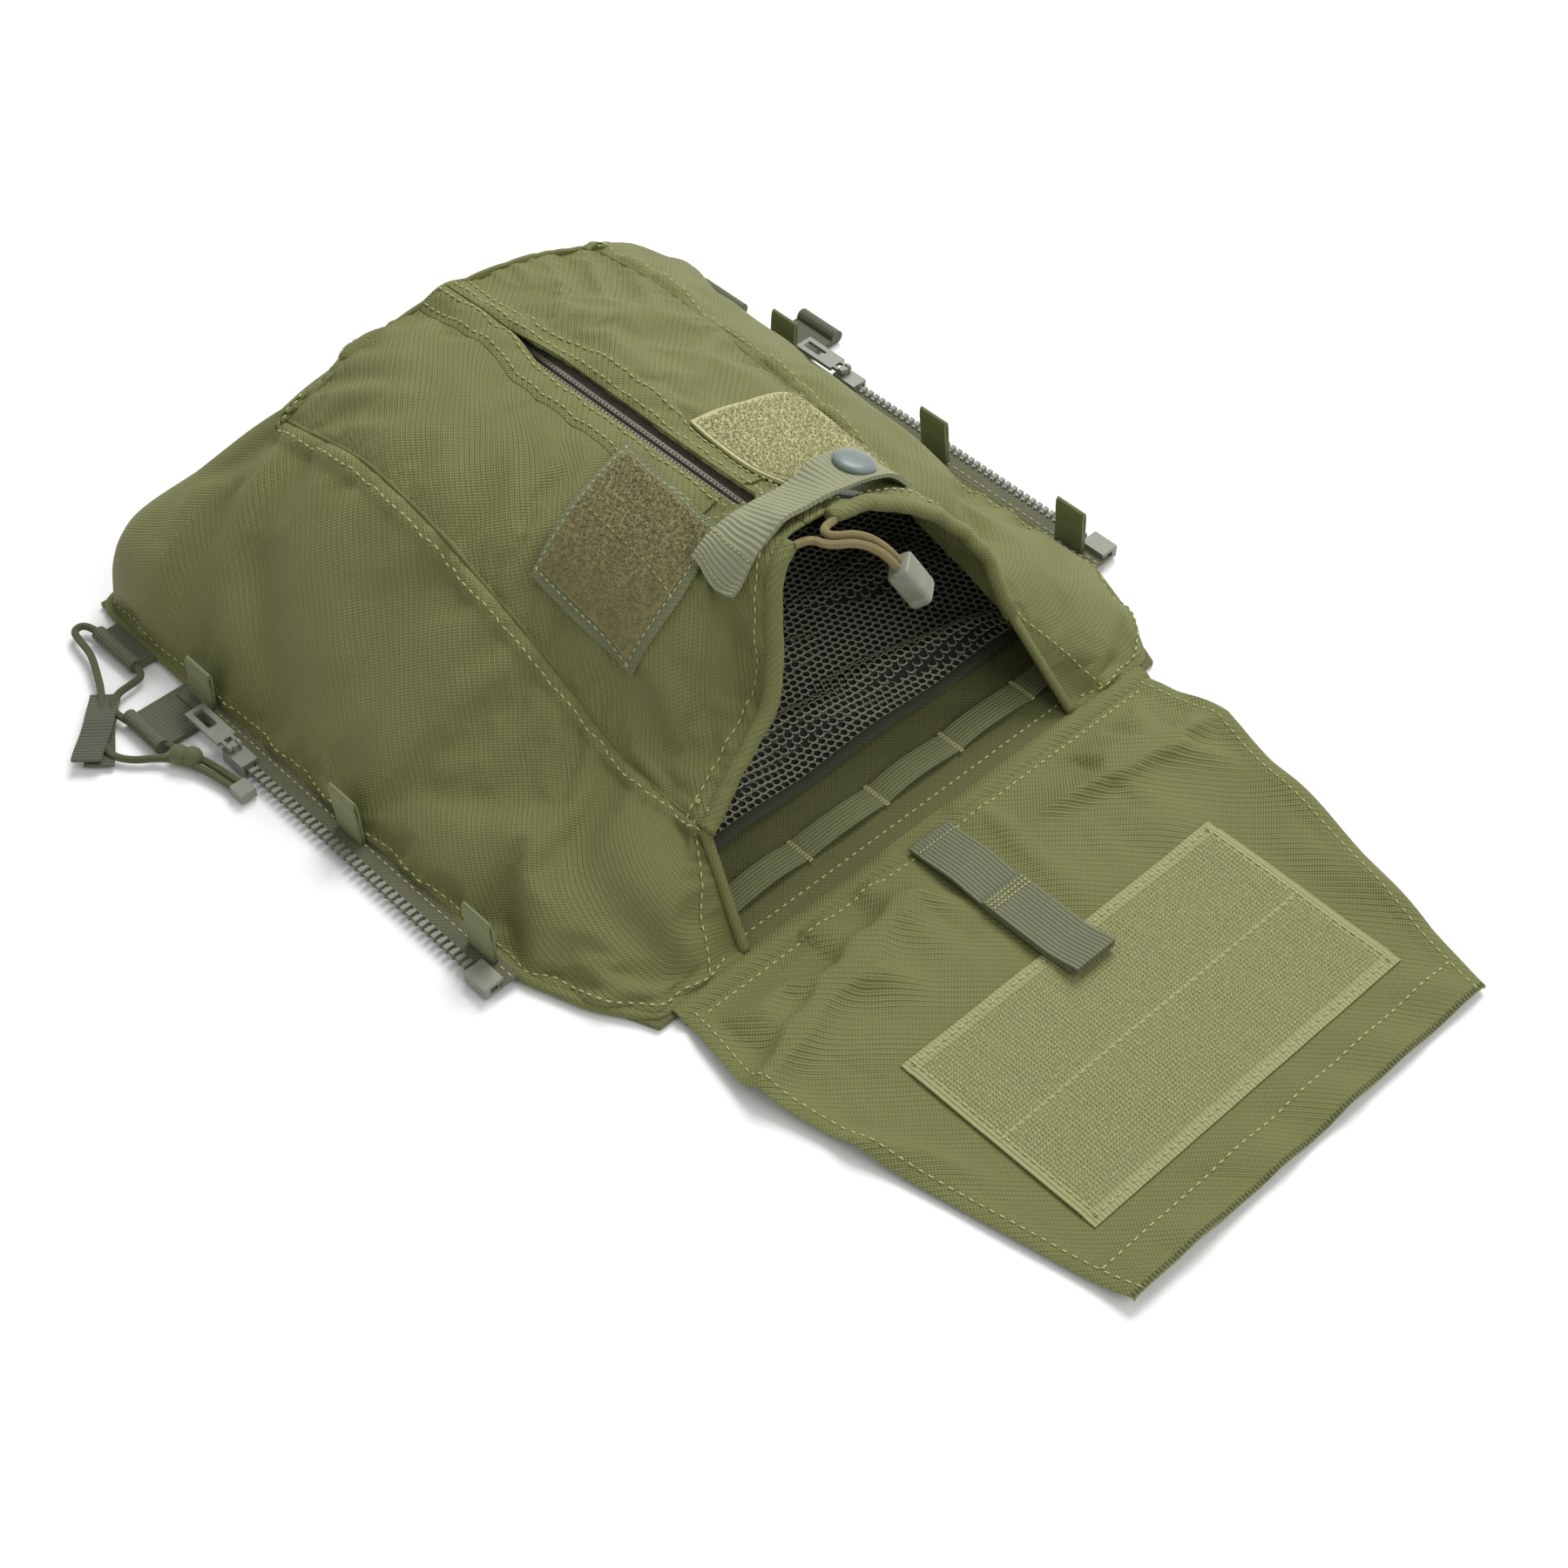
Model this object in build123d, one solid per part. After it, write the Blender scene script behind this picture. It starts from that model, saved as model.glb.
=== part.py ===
"""Zip-on pack panel for load-bearing vests: a soft pouch lying on its back with its lid thrown open.

The pack lies on its back panel, front up.  +Z is up, +X runs across the pack and +Y runs from the lid
towards the pack's bottom edge.  The origin is the middle of the back panel, on the surface it lies on.
All sizes are in millimetres.
"""

from build123d import *
import os
from math import atan2, cos, pi, radians, sin, sqrt, tan

# ---------------------------------------------------------------- driving sizes
fabric = 1.5                 # body cloth with its seam turnings
back_thickness = 2.0         # back panel, two layers of cloth
touch = 0.3                  # gap left between soft pieces that only touch

# plan of the back panel
body_half_width = 141.0
bottom_y = 148.0
seam_y = -144.0              # line where the lid is sewn on
seam_half_width = body_half_width - 20.0
shoulder_y = seam_y + 49.0    # where the cut-in shoulders start

# front of the pouch
front_half_width = 73.0      # from the middle to the long front seams
front_bottom_y = bottom_y - 42.0   # seam between the front and the bottom gusset
mouth_corner_y = seam_y + 32.0
mouth_corner_z = 37.0
mouth_top_y = mouth_corner_y + 28.0
crown_z = 98.0               # height of the front along the zip
mouth_top_z = crown_z + 10.0
gusset_foot_y = seam_y + 4.0
gusset_foot_half = front_half_width + 5.0   # half the width of the mouth at the floor
hem_strip = 4.0              # width of the seam turning along the floor edge
edge_height = 3.6            # top of that turning

# lid
lid_thickness = 1.2
lid_seam_half = seam_half_width - 8.0
lid_widest_half = seam_half_width - 2.5
lid_widest_y = seam_y - 36.0
lid_tip_half = seam_half_width - 34.0
lid_tip_y = seam_y - 173.4
fold_y = seam_y - 106.0      # cross fold, on the middle stitch line of the hook patch
fold_gap = 1.0
hinge_gap = 1.0
hook_half_width = 75.4
hook_near_y = fold_y + 42.0
hook_tip_y = fold_y - 41.5
hook_thickness = 1.4
hook_fold_gap = 2.2 * hook_thickness   # room for the patch to fold on itself

# webbing and straps
strap_width = 19.0
strap_thickness = 1.6
hang_strap_length = 77.0
hang_strap_single = 34.0     # length next to the seam that is only one layer
snap_strap_start_x = -27.0
snap_strap_end_x = 53.0
snap_strap_y = mouth_top_y + 12.0
snap_strap_lift = 3.8        # room under the strap for the snap's lower half
snap_x = 32.0
snap_anchor_width = 9.0      # sewn fold under the strap's fixed end
side_loop_width = 14.0
side_loop_height = 20.0
side_loop_thickness = 1.0
side_loop_gap = 2.6

# loop patches on the front
loop_patch_size = 50.0
loop_patch_inner_x = 16.0
loop_patch_near_y = mouth_top_y + 24.0
loop_patch_thickness = 1.2

# zip on the front
zip_slot = 9.0               # gap between the two front panels
zip_start_y = mouth_top_y + 26.0
zip_end_y = front_bottom_y - 4.0
tape_half = 12.0
tape_thickness = 0.8
coil_half = 2.6
coil_height = 1.5
chain_slit = 1.6             # slit that the slider's post runs in
placket_width = 14.0
placket_thickness = 0.9

# zips along both sides
chain_x = body_half_width + 9.5    # centre of the row of teeth
chain_z = 3.3
tooth_pitch = 3.3
tooth_length = 1.9
first_tooth_y = seam_y + 62.0
side_tape_thickness = 0.8
side_tape_lead = 14.0        # bare tape before the first tooth
side_tape_end_y = bottom_y - 60.0
tooth_count = round((side_tape_end_y - 38.0 - first_tooth_y) / tooth_pitch)
side_loop_ys = (first_tooth_y + 1.0, -10.0, side_tape_end_y - 10.0)
tooth_reach = 2.0            # half a tooth's size across the tape
tooth_half_height = 1.5
slider_clearance = 0.35
slider_wall = 1.1
slider_length = 12.0
pull_length = 24.0
pull_width = 8.0
pull_thickness = 1.6
pin_radius = 0.6
pin_clearance = 0.1
side_ring_wall = 0.9         # wall of a side pull's eyes round the pin
front_ring_wall = 0.7
ring_lift = 0.15             # room between a pull's eyes and its slider

# drawcord in the mouth hem
cord_diameter = 3.0
hem_radius = 3.4
hem_bore = 1.75
hem_gap_half = 9.0
cord_end_width = 12.0
cord_end_thickness = 8.5
cord_end_length = 12.0
cord_end_cap = 4.5
cord_end_back = (15.3, -112.3, 98.0)
cord_end_heading = -52.0     # degrees from +X, seen from above
cord_end_drop = 55.0         # degrees that it hangs below level

# shock cord, tab and webbing stubs at the bottom corner
shock_diameter = 2.8
corner_web_thickness = 2.4
corner_web_foot = 0.4        # height of its underside above the floor
corner_roll_radius = 2.9     # folded end that the shock cord runs through
corner_web_far = (bottom_y - 38.0, bottom_y - 14.0, body_half_width + 13.0)    # from y, to y, out to x
corner_web_near = (bottom_y - 78.0, bottom_y - 57.0, body_half_width + 29.0)
tab_length = 34.0
tab_width = 11.0
tab_thickness = 5.4
tab_middle = (-body_half_width - 37.5, bottom_y - 55.0)
tab_heading = 48.7           # degrees from +X
knot_radius = 3.9

WIDE = 400.0                 # larger than the whole pack, for cutting blocks

# Cross sections of the pouch: y, half width at the floor, height at the front seam, height at the middle.
STATIONS = [
    (gusset_foot_y, 122.6, 6.5, mouth_top_z - 8.0),
    (mouth_corner_y, 134.0, mouth_corner_z, mouth_top_z),
    (mouth_top_y, body_half_width, 45.0, mouth_top_z),
    (zip_start_y, body_half_width, crown_z - 44.0, crown_z),
    (zip_start_y + 38.0, body_half_width, crown_z - 30.0, crown_z),
    (front_bottom_y - 81.0, body_half_width, crown_z - 16.0, crown_z),
    (front_bottom_y - 44.0, body_half_width, crown_z - 12.0, crown_z),
    (front_bottom_y, body_half_width, crown_z - 22.0, crown_z - 2.0),
    (bottom_y, body_half_width - 4.0, 24.0, 32.0),
]


# ---------------------------------------------------------------- helpers
def block(x0, x1, y0, y1, z0, z1):
    """A box from its lowest to its highest corner."""
    return Pos((x0 + x1) / 2, (y0 + y1) / 2, (z0 + z1) / 2) * Box(x1 - x0, y1 - y0, z1 - z0)


def mirrored(shape):
    """The same piece on the other side of the pack."""
    return mirror(shape, about=Plane.YZ)


def between(y):
    """Front-seam height and middle height of the pouch at any y, straight between the stations."""
    for (y0, _, c0, m0), (y1, _, c1, m1) in zip(STATIONS, STATIONS[1:]):
        if y <= y1 + 1e-9:
            share = (y - y0) / (y1 - y0)
            return c0 + (c1 - c0) * share, m0 + (m1 - m0) * share
    return STATIONS[-1][2:]


def crown_circle(y, lift=0.0):
    """Centre height and radius of the front's cross section at y, raised by lift."""
    corner_z, middle_z = between(y)
    rise = middle_z - corner_z
    radius = (front_half_width**2 + rise**2) / (2 * rise)
    return middle_z - radius, radius + lift


def crown_height(x, y, lift=0.0):
    centre_z, radius = crown_circle(y, lift)
    return centre_z + sqrt(radius**2 - x**2)


def on_crown(x, y, lift):
    """A place on the front of the pouch at x, y, raised by lift, with its z square to the cloth."""
    slope_x = crown_height(x + 1, y) - crown_height(x, y)
    slope_y = crown_height(x, y + 1) - crown_height(x, y)
    surface = Plane(origin=(x, y, crown_height(x, y)), x_dir=(1, 0, slope_x), z_dir=(-slope_x, -slope_y, 1))
    return surface.offset(lift)


def crown_band(x0, x1, y0, y1, lift, thickness):
    """A flat piece that lies on the front of the pouch and follows its curve."""
    ys = [y0] + [s[0] for s in STATIONS if y0 + 1 < s[0] < y1 - 1] + [y1]
    faces = []
    for y in ys:
        low, high = [], []
        for x in (x0, (x0 + x1) / 2, x1):
            low.append((x, y, crown_height(x, y, lift)))
            high.append((x, y, crown_height(x, y, lift + thickness)))
        faces.append(Face(Wire([
            ThreePointArc(*low),
            Line(low[2], high[2]),
            ThreePointArc(*reversed(high)),
            Line(high[0], low[0]),
        ])))
    return loft(faces, ruled=True)


def plate(outline, z0, thickness):
    """A flat piece cut to an outline of (x, y) points."""
    return extrude(Pos(0, 0, z0) * make_face(Polyline(*outline, close=True)), thickness)


def both_sides(right_half):
    """A closed outline from its right-hand points, given from one end of the piece to the other."""
    return right_half + [(-x, y) for x, y in reversed(right_half)]


def tube(points, diameter, radii):
    """A round cord along straight runs joined by arcs."""
    path = FilletPolyline(*points, radius=radii)
    start = Plane(origin=path @ 0, z_dir=path % 0)
    return sweep(start * Circle(diameter / 2), path=path), path.length


def bend_radii(points):
    """Radius of the arc at each inner corner of a cord's route, as large as its two runs allow."""
    radii = []
    for a, b, c in zip(points, points[1:], points[2:]):
        before, after = Vector(*b) - Vector(*a), Vector(*c) - Vector(*b)
        half_turn = radians(before.get_angle(after)) / 2
        radii.append(0.45 * min(before.length, after.length) / tan(half_turn))
    return radii


def cord(points, diameter, name):
    radii = bend_radii(points)
    solid, length = tube(points, diameter, radii)
    section = pi * diameter**2 / 4
    print(f"{name}: length {length:.1f}, radii {[round(r, 1) for r in radii]}, "
          f"volume over section times length {solid.volume / (section * length):.3f}")
    return solid


# ---------------------------------------------------------------- pouch
def pouch_section(y, half, corner_z, middle_z, inset=0.0, drop=0.0, floor=0.0):
    """One closed cross section of the pouch, or of its hollow when it is inset."""
    edge_x = half - inset
    edge_z = edge_height - drop
    side = [(edge_x, y, floor), (edge_x, y, edge_z), (front_half_width, y, corner_z - drop)]
    far = [(-x, yy, z) for x, yy, z in side]
    return Face(Wire([
        Line(side[0], side[1]),
        Line(side[1], side[2]),
        ThreePointArc(side[2], (0, y, middle_z - drop), far[2]),
        Line(far[2], far[1]),
        Line(far[1], far[0]),
        Line(far[0], side[0]),
    ]))


def pouch_shell():
    """The cloth of the pouch in one piece, open at the floor and at the mouth."""
    outer = loft([pouch_section(*s) for s in STATIONS], ruled=True)
    hollow = []
    for i, (y, half, corner_z, middle_z) in enumerate(STATIONS):
        nearby = [STATIONS[max(i - 1, 0)], STATIONS[min(i + 1, len(STATIONS) - 1)]]
        steepest = max(abs((s[3] - middle_z) / (s[0] - y)) for s in nearby if s[0] != y)
        drop = fabric * sqrt(1 + min(steepest, 1.5) ** 2)
        inside_y = y - fabric if y == bottom_y else y - 2 * fabric if i == 0 else y
        hollow.append(pouch_section(inside_y, half, corner_z, middle_z, hem_strip, drop, -10.0))
    shell = outer - loft(hollow, ruled=True)
    mouth = [
        (-WIDE, back_thickness),
        (mouth_corner_y, back_thickness),
        (mouth_corner_y, mouth_corner_z),
        (mouth_top_y, mouth_top_z),
        (mouth_top_y + (mouth_top_y - mouth_corner_y), 2 * mouth_top_z - mouth_corner_z),
        (-WIDE, 2 * mouth_top_z),
    ]
    opening = extrude(Plane.YZ.offset(-gusset_foot_half) * make_face(Polyline(*mouth, close=True)),
                      2 * gusset_foot_half)
    return (shell - opening) & block(-WIDE, WIDE, -WIDE, WIDE, back_thickness, WIDE)


def pouch_panels():
    """Front panels, side gussets and bottom gusset, cut from the shell along its seams."""
    shell = pouch_shell()
    front_zone = block(zip_slot / 2, front_half_width, -WIDE, front_bottom_y, 0, WIDE)
    gusset_zone = block(front_half_width, WIDE, -WIDE, front_bottom_y, 0, WIDE)
    front = shell & front_zone
    zip_end_strip = shell & block(-zip_slot / 2, zip_slot / 2, zip_end_y, front_bottom_y, 0, WIDE)
    mouth_strip = shell & block(-zip_slot / 2, zip_slot / 2, -WIDE, zip_start_y, 0, WIDE)
    gusset = shell & gusset_zone
    return {
        "front_panel_right": front,
        "front_panel_left": mirrored(front),
        "zip_end_bridge": zip_end_strip + mouth_strip,
        "side_gusset_right": gusset,
        "side_gusset_left": mirrored(gusset),
        "bottom_gusset": shell & block(-WIDE, WIDE, front_bottom_y, WIDE, 0, WIDE),
    }


def back_panel():
    outline = both_sides([
        (seam_half_width, seam_y + hinge_gap),
        (body_half_width, shoulder_y),
        (body_half_width, bottom_y),
    ])
    return plate(outline, 0, back_thickness)


def mesh_pocket():
    """Open mesh sheet on the inside of the back panel, and the tape that binds its open edge."""
    half, near_y, far_y = body_half_width - 29.0, shoulder_y - 6.0, bottom_y - 78.0
    thickness, binding = 1.0, 7.0
    sheet = block(-half, half, near_y, far_y, back_thickness, back_thickness + thickness)
    top = back_thickness + thickness
    tape = block(-half, half, near_y, near_y + binding, top, top + 0.8)
    return sheet, tape


def daisy_chain():
    """Narrow webbing inside the mouth and the bar tacks that hold it down at even steps."""
    width, thickness, half, y, step = 10.0, 1.0, seam_half_width - 29.0, seam_y + 23.0, 37.0
    web = block(-half, half, y - width / 2, y + width / 2, back_thickness, back_thickness + thickness)
    top = back_thickness + thickness
    tacks = Part() + [
        block(i * step - 1, i * step + 1, y - width / 2, y + width / 2, top, top + 0.6)
        for i in range(-2, 3)
    ]
    return web, tacks


# ---------------------------------------------------------------- lid
def lid_half_at(y):
    """Half the lid's width at y."""
    if y > lid_widest_y:
        share = (seam_y - y) / (seam_y - lid_widest_y)
        return lid_seam_half + (lid_widest_half - lid_seam_half) * share
    share = (lid_widest_y - y) / (lid_widest_y - lid_tip_y)
    return lid_widest_half + (lid_tip_half - lid_widest_half) * share


def lid():
    near, before, after = seam_y - hinge_gap, fold_y + fold_gap / 2, fold_y - fold_gap / 2
    base = both_sides([
        (lid_half_at(near), near),
        (lid_widest_half, lid_widest_y),
        (lid_half_at(before), before),
    ])
    tip = both_sides([(lid_half_at(after), after), (lid_tip_half, lid_tip_y)])
    return plate(base, 0, lid_thickness), plate(tip, 0, lid_thickness)


def hook_patch():
    top = lid_thickness + hook_thickness
    base = block(-hook_half_width, hook_half_width, fold_y + hook_fold_gap / 2, hook_near_y,
                 lid_thickness, top)
    tip = block(-hook_half_width, hook_half_width, hook_tip_y, fold_y - hook_fold_gap / 2,
                lid_thickness, top)
    return base, tip


def hang_strap():
    """Webbing strap sewn into the lid seam, doubled over its outer part."""
    z = lid_thickness + hook_thickness + touch + 0.1
    near = seam_y - 2.5
    middle, far = near - hang_strap_single, near - hang_strap_length
    half = strap_width / 2
    single = block(-half, half, far, near, z, z + strap_thickness)
    return single + block(-half, half, far, middle, z + strap_thickness, z + 2 * strap_thickness)


# ---------------------------------------------------------------- front zip
def front_zip_tapes():
    """Both halves of the tape, in one node, just under the front panels."""
    top = min(crown_height(tape_half, y) for y in (zip_start_y, zip_end_y)) - 1.5 * fabric - touch
    right = block(chain_slit / 2, tape_half, zip_start_y, zip_end_y, top - tape_thickness, top)
    return Part() + [right, mirrored(right)], top


def front_zip_coil(tape_top):
    right = block(chain_slit / 2, coil_half, zip_start_y + 2, zip_end_y - 2, tape_top, tape_top + coil_height)
    return Part() + [right, mirrored(right)]


def front_slider(tape_top):
    """Slider with a plate over the coil, a plate under the tape and a post between them."""
    y, length, half = zip_end_y - 9.0, 9.0, 3.6
    over = tape_top + coil_height + slider_clearance
    under = tape_top - tape_thickness - slider_clearance
    top = block(-half, half, y - length / 2, y + length / 2, over, over + 0.9)
    low = block(-half, half, y - length / 2, y + length / 2, under - 0.9, under)
    post = block(-0.5, 0.5, y - 1.5, y + 1.5, under, over)
    pin_z = over + 0.9 + pin_radius + pin_clearance + front_ring_wall + ring_lift
    lug = block(-0.9, 0.9, y + 1.0, y + 4.2, over + 0.9, pin_z + 0.9)
    pin = Pos(0, y + 2.6, pin_z) * Rot(0, 90, 0) * Cylinder(pin_radius, 5.0)
    return top + low + post + lug + pin, y + 2.6, pin_z


def front_pull(pin_y, pin_z):
    """Narrow pull on the slider's pin, lying along the zip."""
    bore = pin_radius + pin_clearance
    ring = Cylinder(bore + front_ring_wall, 1.0) - Cylinder(bore, 2.0)
    ears = Part() + [Pos(s * 1.75, pin_y, pin_z) * Rot(0, 90, 0) * ring for s in (-1, 1)]
    arms = Part() + [
        block(s * 1.75 - 0.5, s * 1.75 + 0.5, pin_y - 9.0, pin_y - bore - 0.2, pin_z - 0.6, pin_z + 0.6)
        for s in (-1, 1)
    ]
    tongue = block(-2.25, 2.25, pin_y - 20.0, pin_y - 8.0, pin_z - 0.6, pin_z + 0.6)
    return ears + arms + tongue


def zip_plackets():
    """Folded cloth strips along both edges of the front zip."""
    right = crown_band(zip_slot / 2, zip_slot / 2 + placket_width, zip_start_y + 8, zip_end_y,
                       0.05, placket_thickness)
    return right, mirrored(right)


# ---------------------------------------------------------------- side zips (right side)
def side_tape():
    z = chain_z - side_tape_thickness / 2
    return block(body_half_width, chain_x - tooth_reach, first_tooth_y - side_tape_lead, side_tape_end_y,
                 z, z + side_tape_thickness)


def side_teeth():
    """The row of moulded teeth on one side, every tooth a solid of its own."""
    return Part() + [
        block(chain_x - tooth_reach, chain_x + tooth_reach, y, y + tooth_length,
              chain_z - tooth_half_height, chain_z + tooth_half_height)
        for y in (first_tooth_y + i * tooth_pitch for i in range(tooth_count))
    ]


def side_box():
    """Moulded socket at the lid end of a side zip, with its slot."""
    y1 = first_tooth_y - 2.0
    body = block(chain_x - 4.0, chain_x + 4.0, y1 - 11.0, y1, chain_z - 2.6, chain_z + 2.6)
    slot = block(chain_x - 1.6, chain_x + 1.6, y1 - 12.0, y1 - 3.0, chain_z - 1.2, chain_z + 1.2)
    tape_notch = block(0, chain_x - tooth_reach, y1 - 12.0, y1 + 1.0,
                       chain_z - side_tape_thickness / 2, chain_z + side_tape_thickness / 2)
    return body - slot - tape_notch


def side_slider():
    """Half-chain slider: two plates, an outer wall, short inner flanges and a lug with the pull's pin."""
    y = first_tooth_y + tooth_count * tooth_pitch - 4.0
    inner, outer = chain_x - tooth_reach - slider_clearance, chain_x + tooth_reach + slider_clearance
    low, high = chain_z - tooth_half_height - slider_clearance, chain_z + tooth_half_height + slider_clearance
    y0, y1 = y - slider_length / 2, y + slider_length / 2
    body = block(inner - slider_wall, outer + slider_wall, y0, y1, low - slider_wall, high + slider_wall)
    body -= block(inner, outer, y0 - 1, y1 + 1, low, high)
    body -= block(0, inner + 0.01, y0 - 1, y1 + 1, chain_z - 0.8, chain_z + 0.8)
    pin_y = y + 3.0
    pin_z = high + slider_wall + pin_radius + pin_clearance + side_ring_wall + ring_lift
    lug = block(chain_x - 1.1, chain_x + 1.1, pin_y - 1.5, pin_y + 1.5, high + slider_wall, pin_z + 1.0)
    pin = Pos(chain_x, pin_y, pin_z) * Rot(0, 90, 0) * Cylinder(pin_radius, 5.6)
    return body + lug + pin, pin_y, pin_z


def side_pull(pin_y, pin_z):
    """Pull tab with two ears on the pin and a long eye at its free end."""
    bore = pin_radius + pin_clearance
    ring = Cylinder(bore + side_ring_wall, 1.2) - Cylinder(bore, 3.0)
    ears = Part() + [Pos(chain_x + s * 2.0, pin_y, pin_z) * Rot(0, 90, 0) * ring for s in (-1, 1)]
    low, high = pin_z - pull_thickness / 2, pin_z + pull_thickness / 2
    arms = Part() + [
        block(chain_x + s * 2.0 - 0.6, chain_x + s * 2.0 + 0.6, pin_y + bore + 0.2, pin_y + 5.0, low, high)
        for s in (-1, 1)
    ]
    blade = block(chain_x - pull_width / 2, chain_x + pull_width / 2,
                  pin_y + 4.0, pin_y + pull_length, low, high)
    eye = block(chain_x - 1.9, chain_x + 1.9, pin_y + 12.0, pin_y + pull_length - 2.0, low - 1, high + 1)
    return ears + arms + (blade - eye)


def side_loops():
    """Three upright webbing loops along one side seam."""
    x0 = body_half_width + touch
    x1 = x0 + 2 * side_loop_thickness + side_loop_gap
    z0 = chain_z + side_tape_thickness / 2
    loops = []
    for y in side_loop_ys:
        y0, y1 = y - side_loop_width / 2, y + side_loop_width / 2
        outer = block(x0, x1, y0, y1, z0, z0 + side_loop_height)
        inner = block(x0 + side_loop_thickness, x1 - side_loop_thickness, y0 - 1, y1 + 1,
                      z0 + side_loop_thickness, z0 + side_loop_height - side_loop_thickness)
        loops.append(outer - inner)
    return Part() + loops


# ---------------------------------------------------------------- snap strap
def snap_fastener():
    """The four parts of the snap: cap and socket on the strap, stud and post on the front panel."""
    under = snap_strap_lift
    over = snap_strap_lift + strap_thickness
    cap = Cylinder(7.5, 1.2, align=(Align.CENTER, Align.CENTER, Align.MIN))
    cap = on_crown(snap_x, snap_strap_y, over + touch) * chamfer(cap.edges().group_by(Axis.Z)[-1], 0.7)
    barrel = Cylinder(1.6, over + touch - under + 0.2, align=(Align.CENTER, Align.CENTER, Align.MIN))
    cap += on_crown(snap_x, snap_strap_y, under - 0.2) * barrel
    ring = Cylinder(5.6, 1.5, align=(Align.CENTER, Align.CENTER, Align.MAX))
    ring -= Cylinder(2.9, 3.2, align=(Align.CENTER, Align.CENTER, Align.CENTER))
    socket = on_crown(snap_x, snap_strap_y, under - 2.5 * touch) * ring
    flange = Cylinder(5.6, 0.9, align=(Align.CENTER, Align.CENTER, Align.MIN))
    knob = Cylinder(2.0, under - 1.6, align=(Align.CENTER, Align.CENTER, Align.MIN))
    stud = on_crown(snap_x, snap_strap_y, touch + 0.1) * (flange + knob)
    post = on_crown(snap_x, snap_strap_y, -fabric - 1.9) * Cylinder(
        5.0, 0.9, align=(Align.CENTER, Align.CENTER, Align.MIN))
    return cap, socket, stud, post


def snap_strap():
    half = strap_width / 2
    band = crown_band(snap_strap_start_x, snap_strap_end_x, snap_strap_y - half, snap_strap_y + half,
                      snap_strap_lift, strap_thickness)
    hole = Cylinder(1.9, 12.0)
    return band - on_crown(snap_x, snap_strap_y, snap_strap_lift) * hole


# ---------------------------------------------------------------- drawcord and hem
def mouth_plane_y(z):
    """Where the slanting edge of the mouth is at height z."""
    share = (z - mouth_corner_z) / (mouth_top_z - mouth_corner_z)
    return mouth_corner_y + share * (mouth_top_y - mouth_corner_y)


mouth_tilt = atan2(mouth_top_y - mouth_corner_y, mouth_top_z - mouth_corner_z)
hem_shift = (hem_radius + touch / 2) / cos(mouth_tilt)


def along_hem(diameter):
    """A round bar along the edge of the mouth, from corner to corner."""
    top_z = mouth_top_z - fabric
    foot = (mouth_corner_y - hem_shift, mouth_corner_z)
    top = (0, mouth_plane_y(top_z) - hem_shift, top_z)
    path = ThreePointArc((-front_half_width, *foot), top, (front_half_width, *foot))
    start = Plane(origin=path @ 0, z_dir=path % 0)
    return sweep(start * Circle(diameter / 2), path=path)


def mouth_hem():
    """Rolled hem along the right half of the mouth, hollow for the drawcord."""
    channel = along_hem(2 * hem_radius) - along_hem(2 * hem_bore)
    return channel & block(hem_gap_half, WIDE, -WIDE, WIDE, 0, WIDE)


def drawcord_in_hem():
    """The two stretches of drawcord that lie inside the hem."""
    right = along_hem(cord_diameter) & block(hem_gap_half + touch, WIDE, -WIDE, WIDE, 0, WIDE)
    return Part() + [right, mirrored(right)]


# The drawcord's free strands, from the ends of the hem to the cord end that holds them both.
DRAWCORD_RIGHT = [
    (9.0, -88.6, 106.0), (2.5, -88.9, 106.4), (1.0, -95.2, 107.8),
    (8.8, -100.6, 108.2), (13.9, -107.9, 104.1), (16.6, -111.3, 98.0),
]
DRAWCORD_LEFT = [
    (-9.0, -88.6, 106.0), (-3.2, -89.6, 106.4), (-2.2, -97.4, 107.4),
    (5.7, -103.0, 107.8), (11.3, -109.9, 104.1), (14.0, -113.3, 98.0),
]


def cord_end():
    """Moulded block that clasps both ends of the drawcord, and the rounded cap snapped onto it."""
    heading, drop = radians(cord_end_heading), radians(cord_end_drop)
    along = (cos(drop) * cos(heading), cos(drop) * sin(heading), -sin(drop))
    back = Plane(origin=cord_end_back, x_dir=(-sin(heading), cos(heading), 0), z_dir=along)
    low = (Align.CENTER, Align.CENTER, Align.MIN)
    body = back * Box(cord_end_width, cord_end_thickness, cord_end_length, align=low)
    cap = Box(cord_end_width, cord_end_thickness, cord_end_cap, align=low)
    cap = fillet(cap.edges().group_by(Axis.Z)[-1].filter_by(Axis.Y), 0.8 * cord_end_cap)
    return body, back.offset(cord_end_length) * cap


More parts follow.
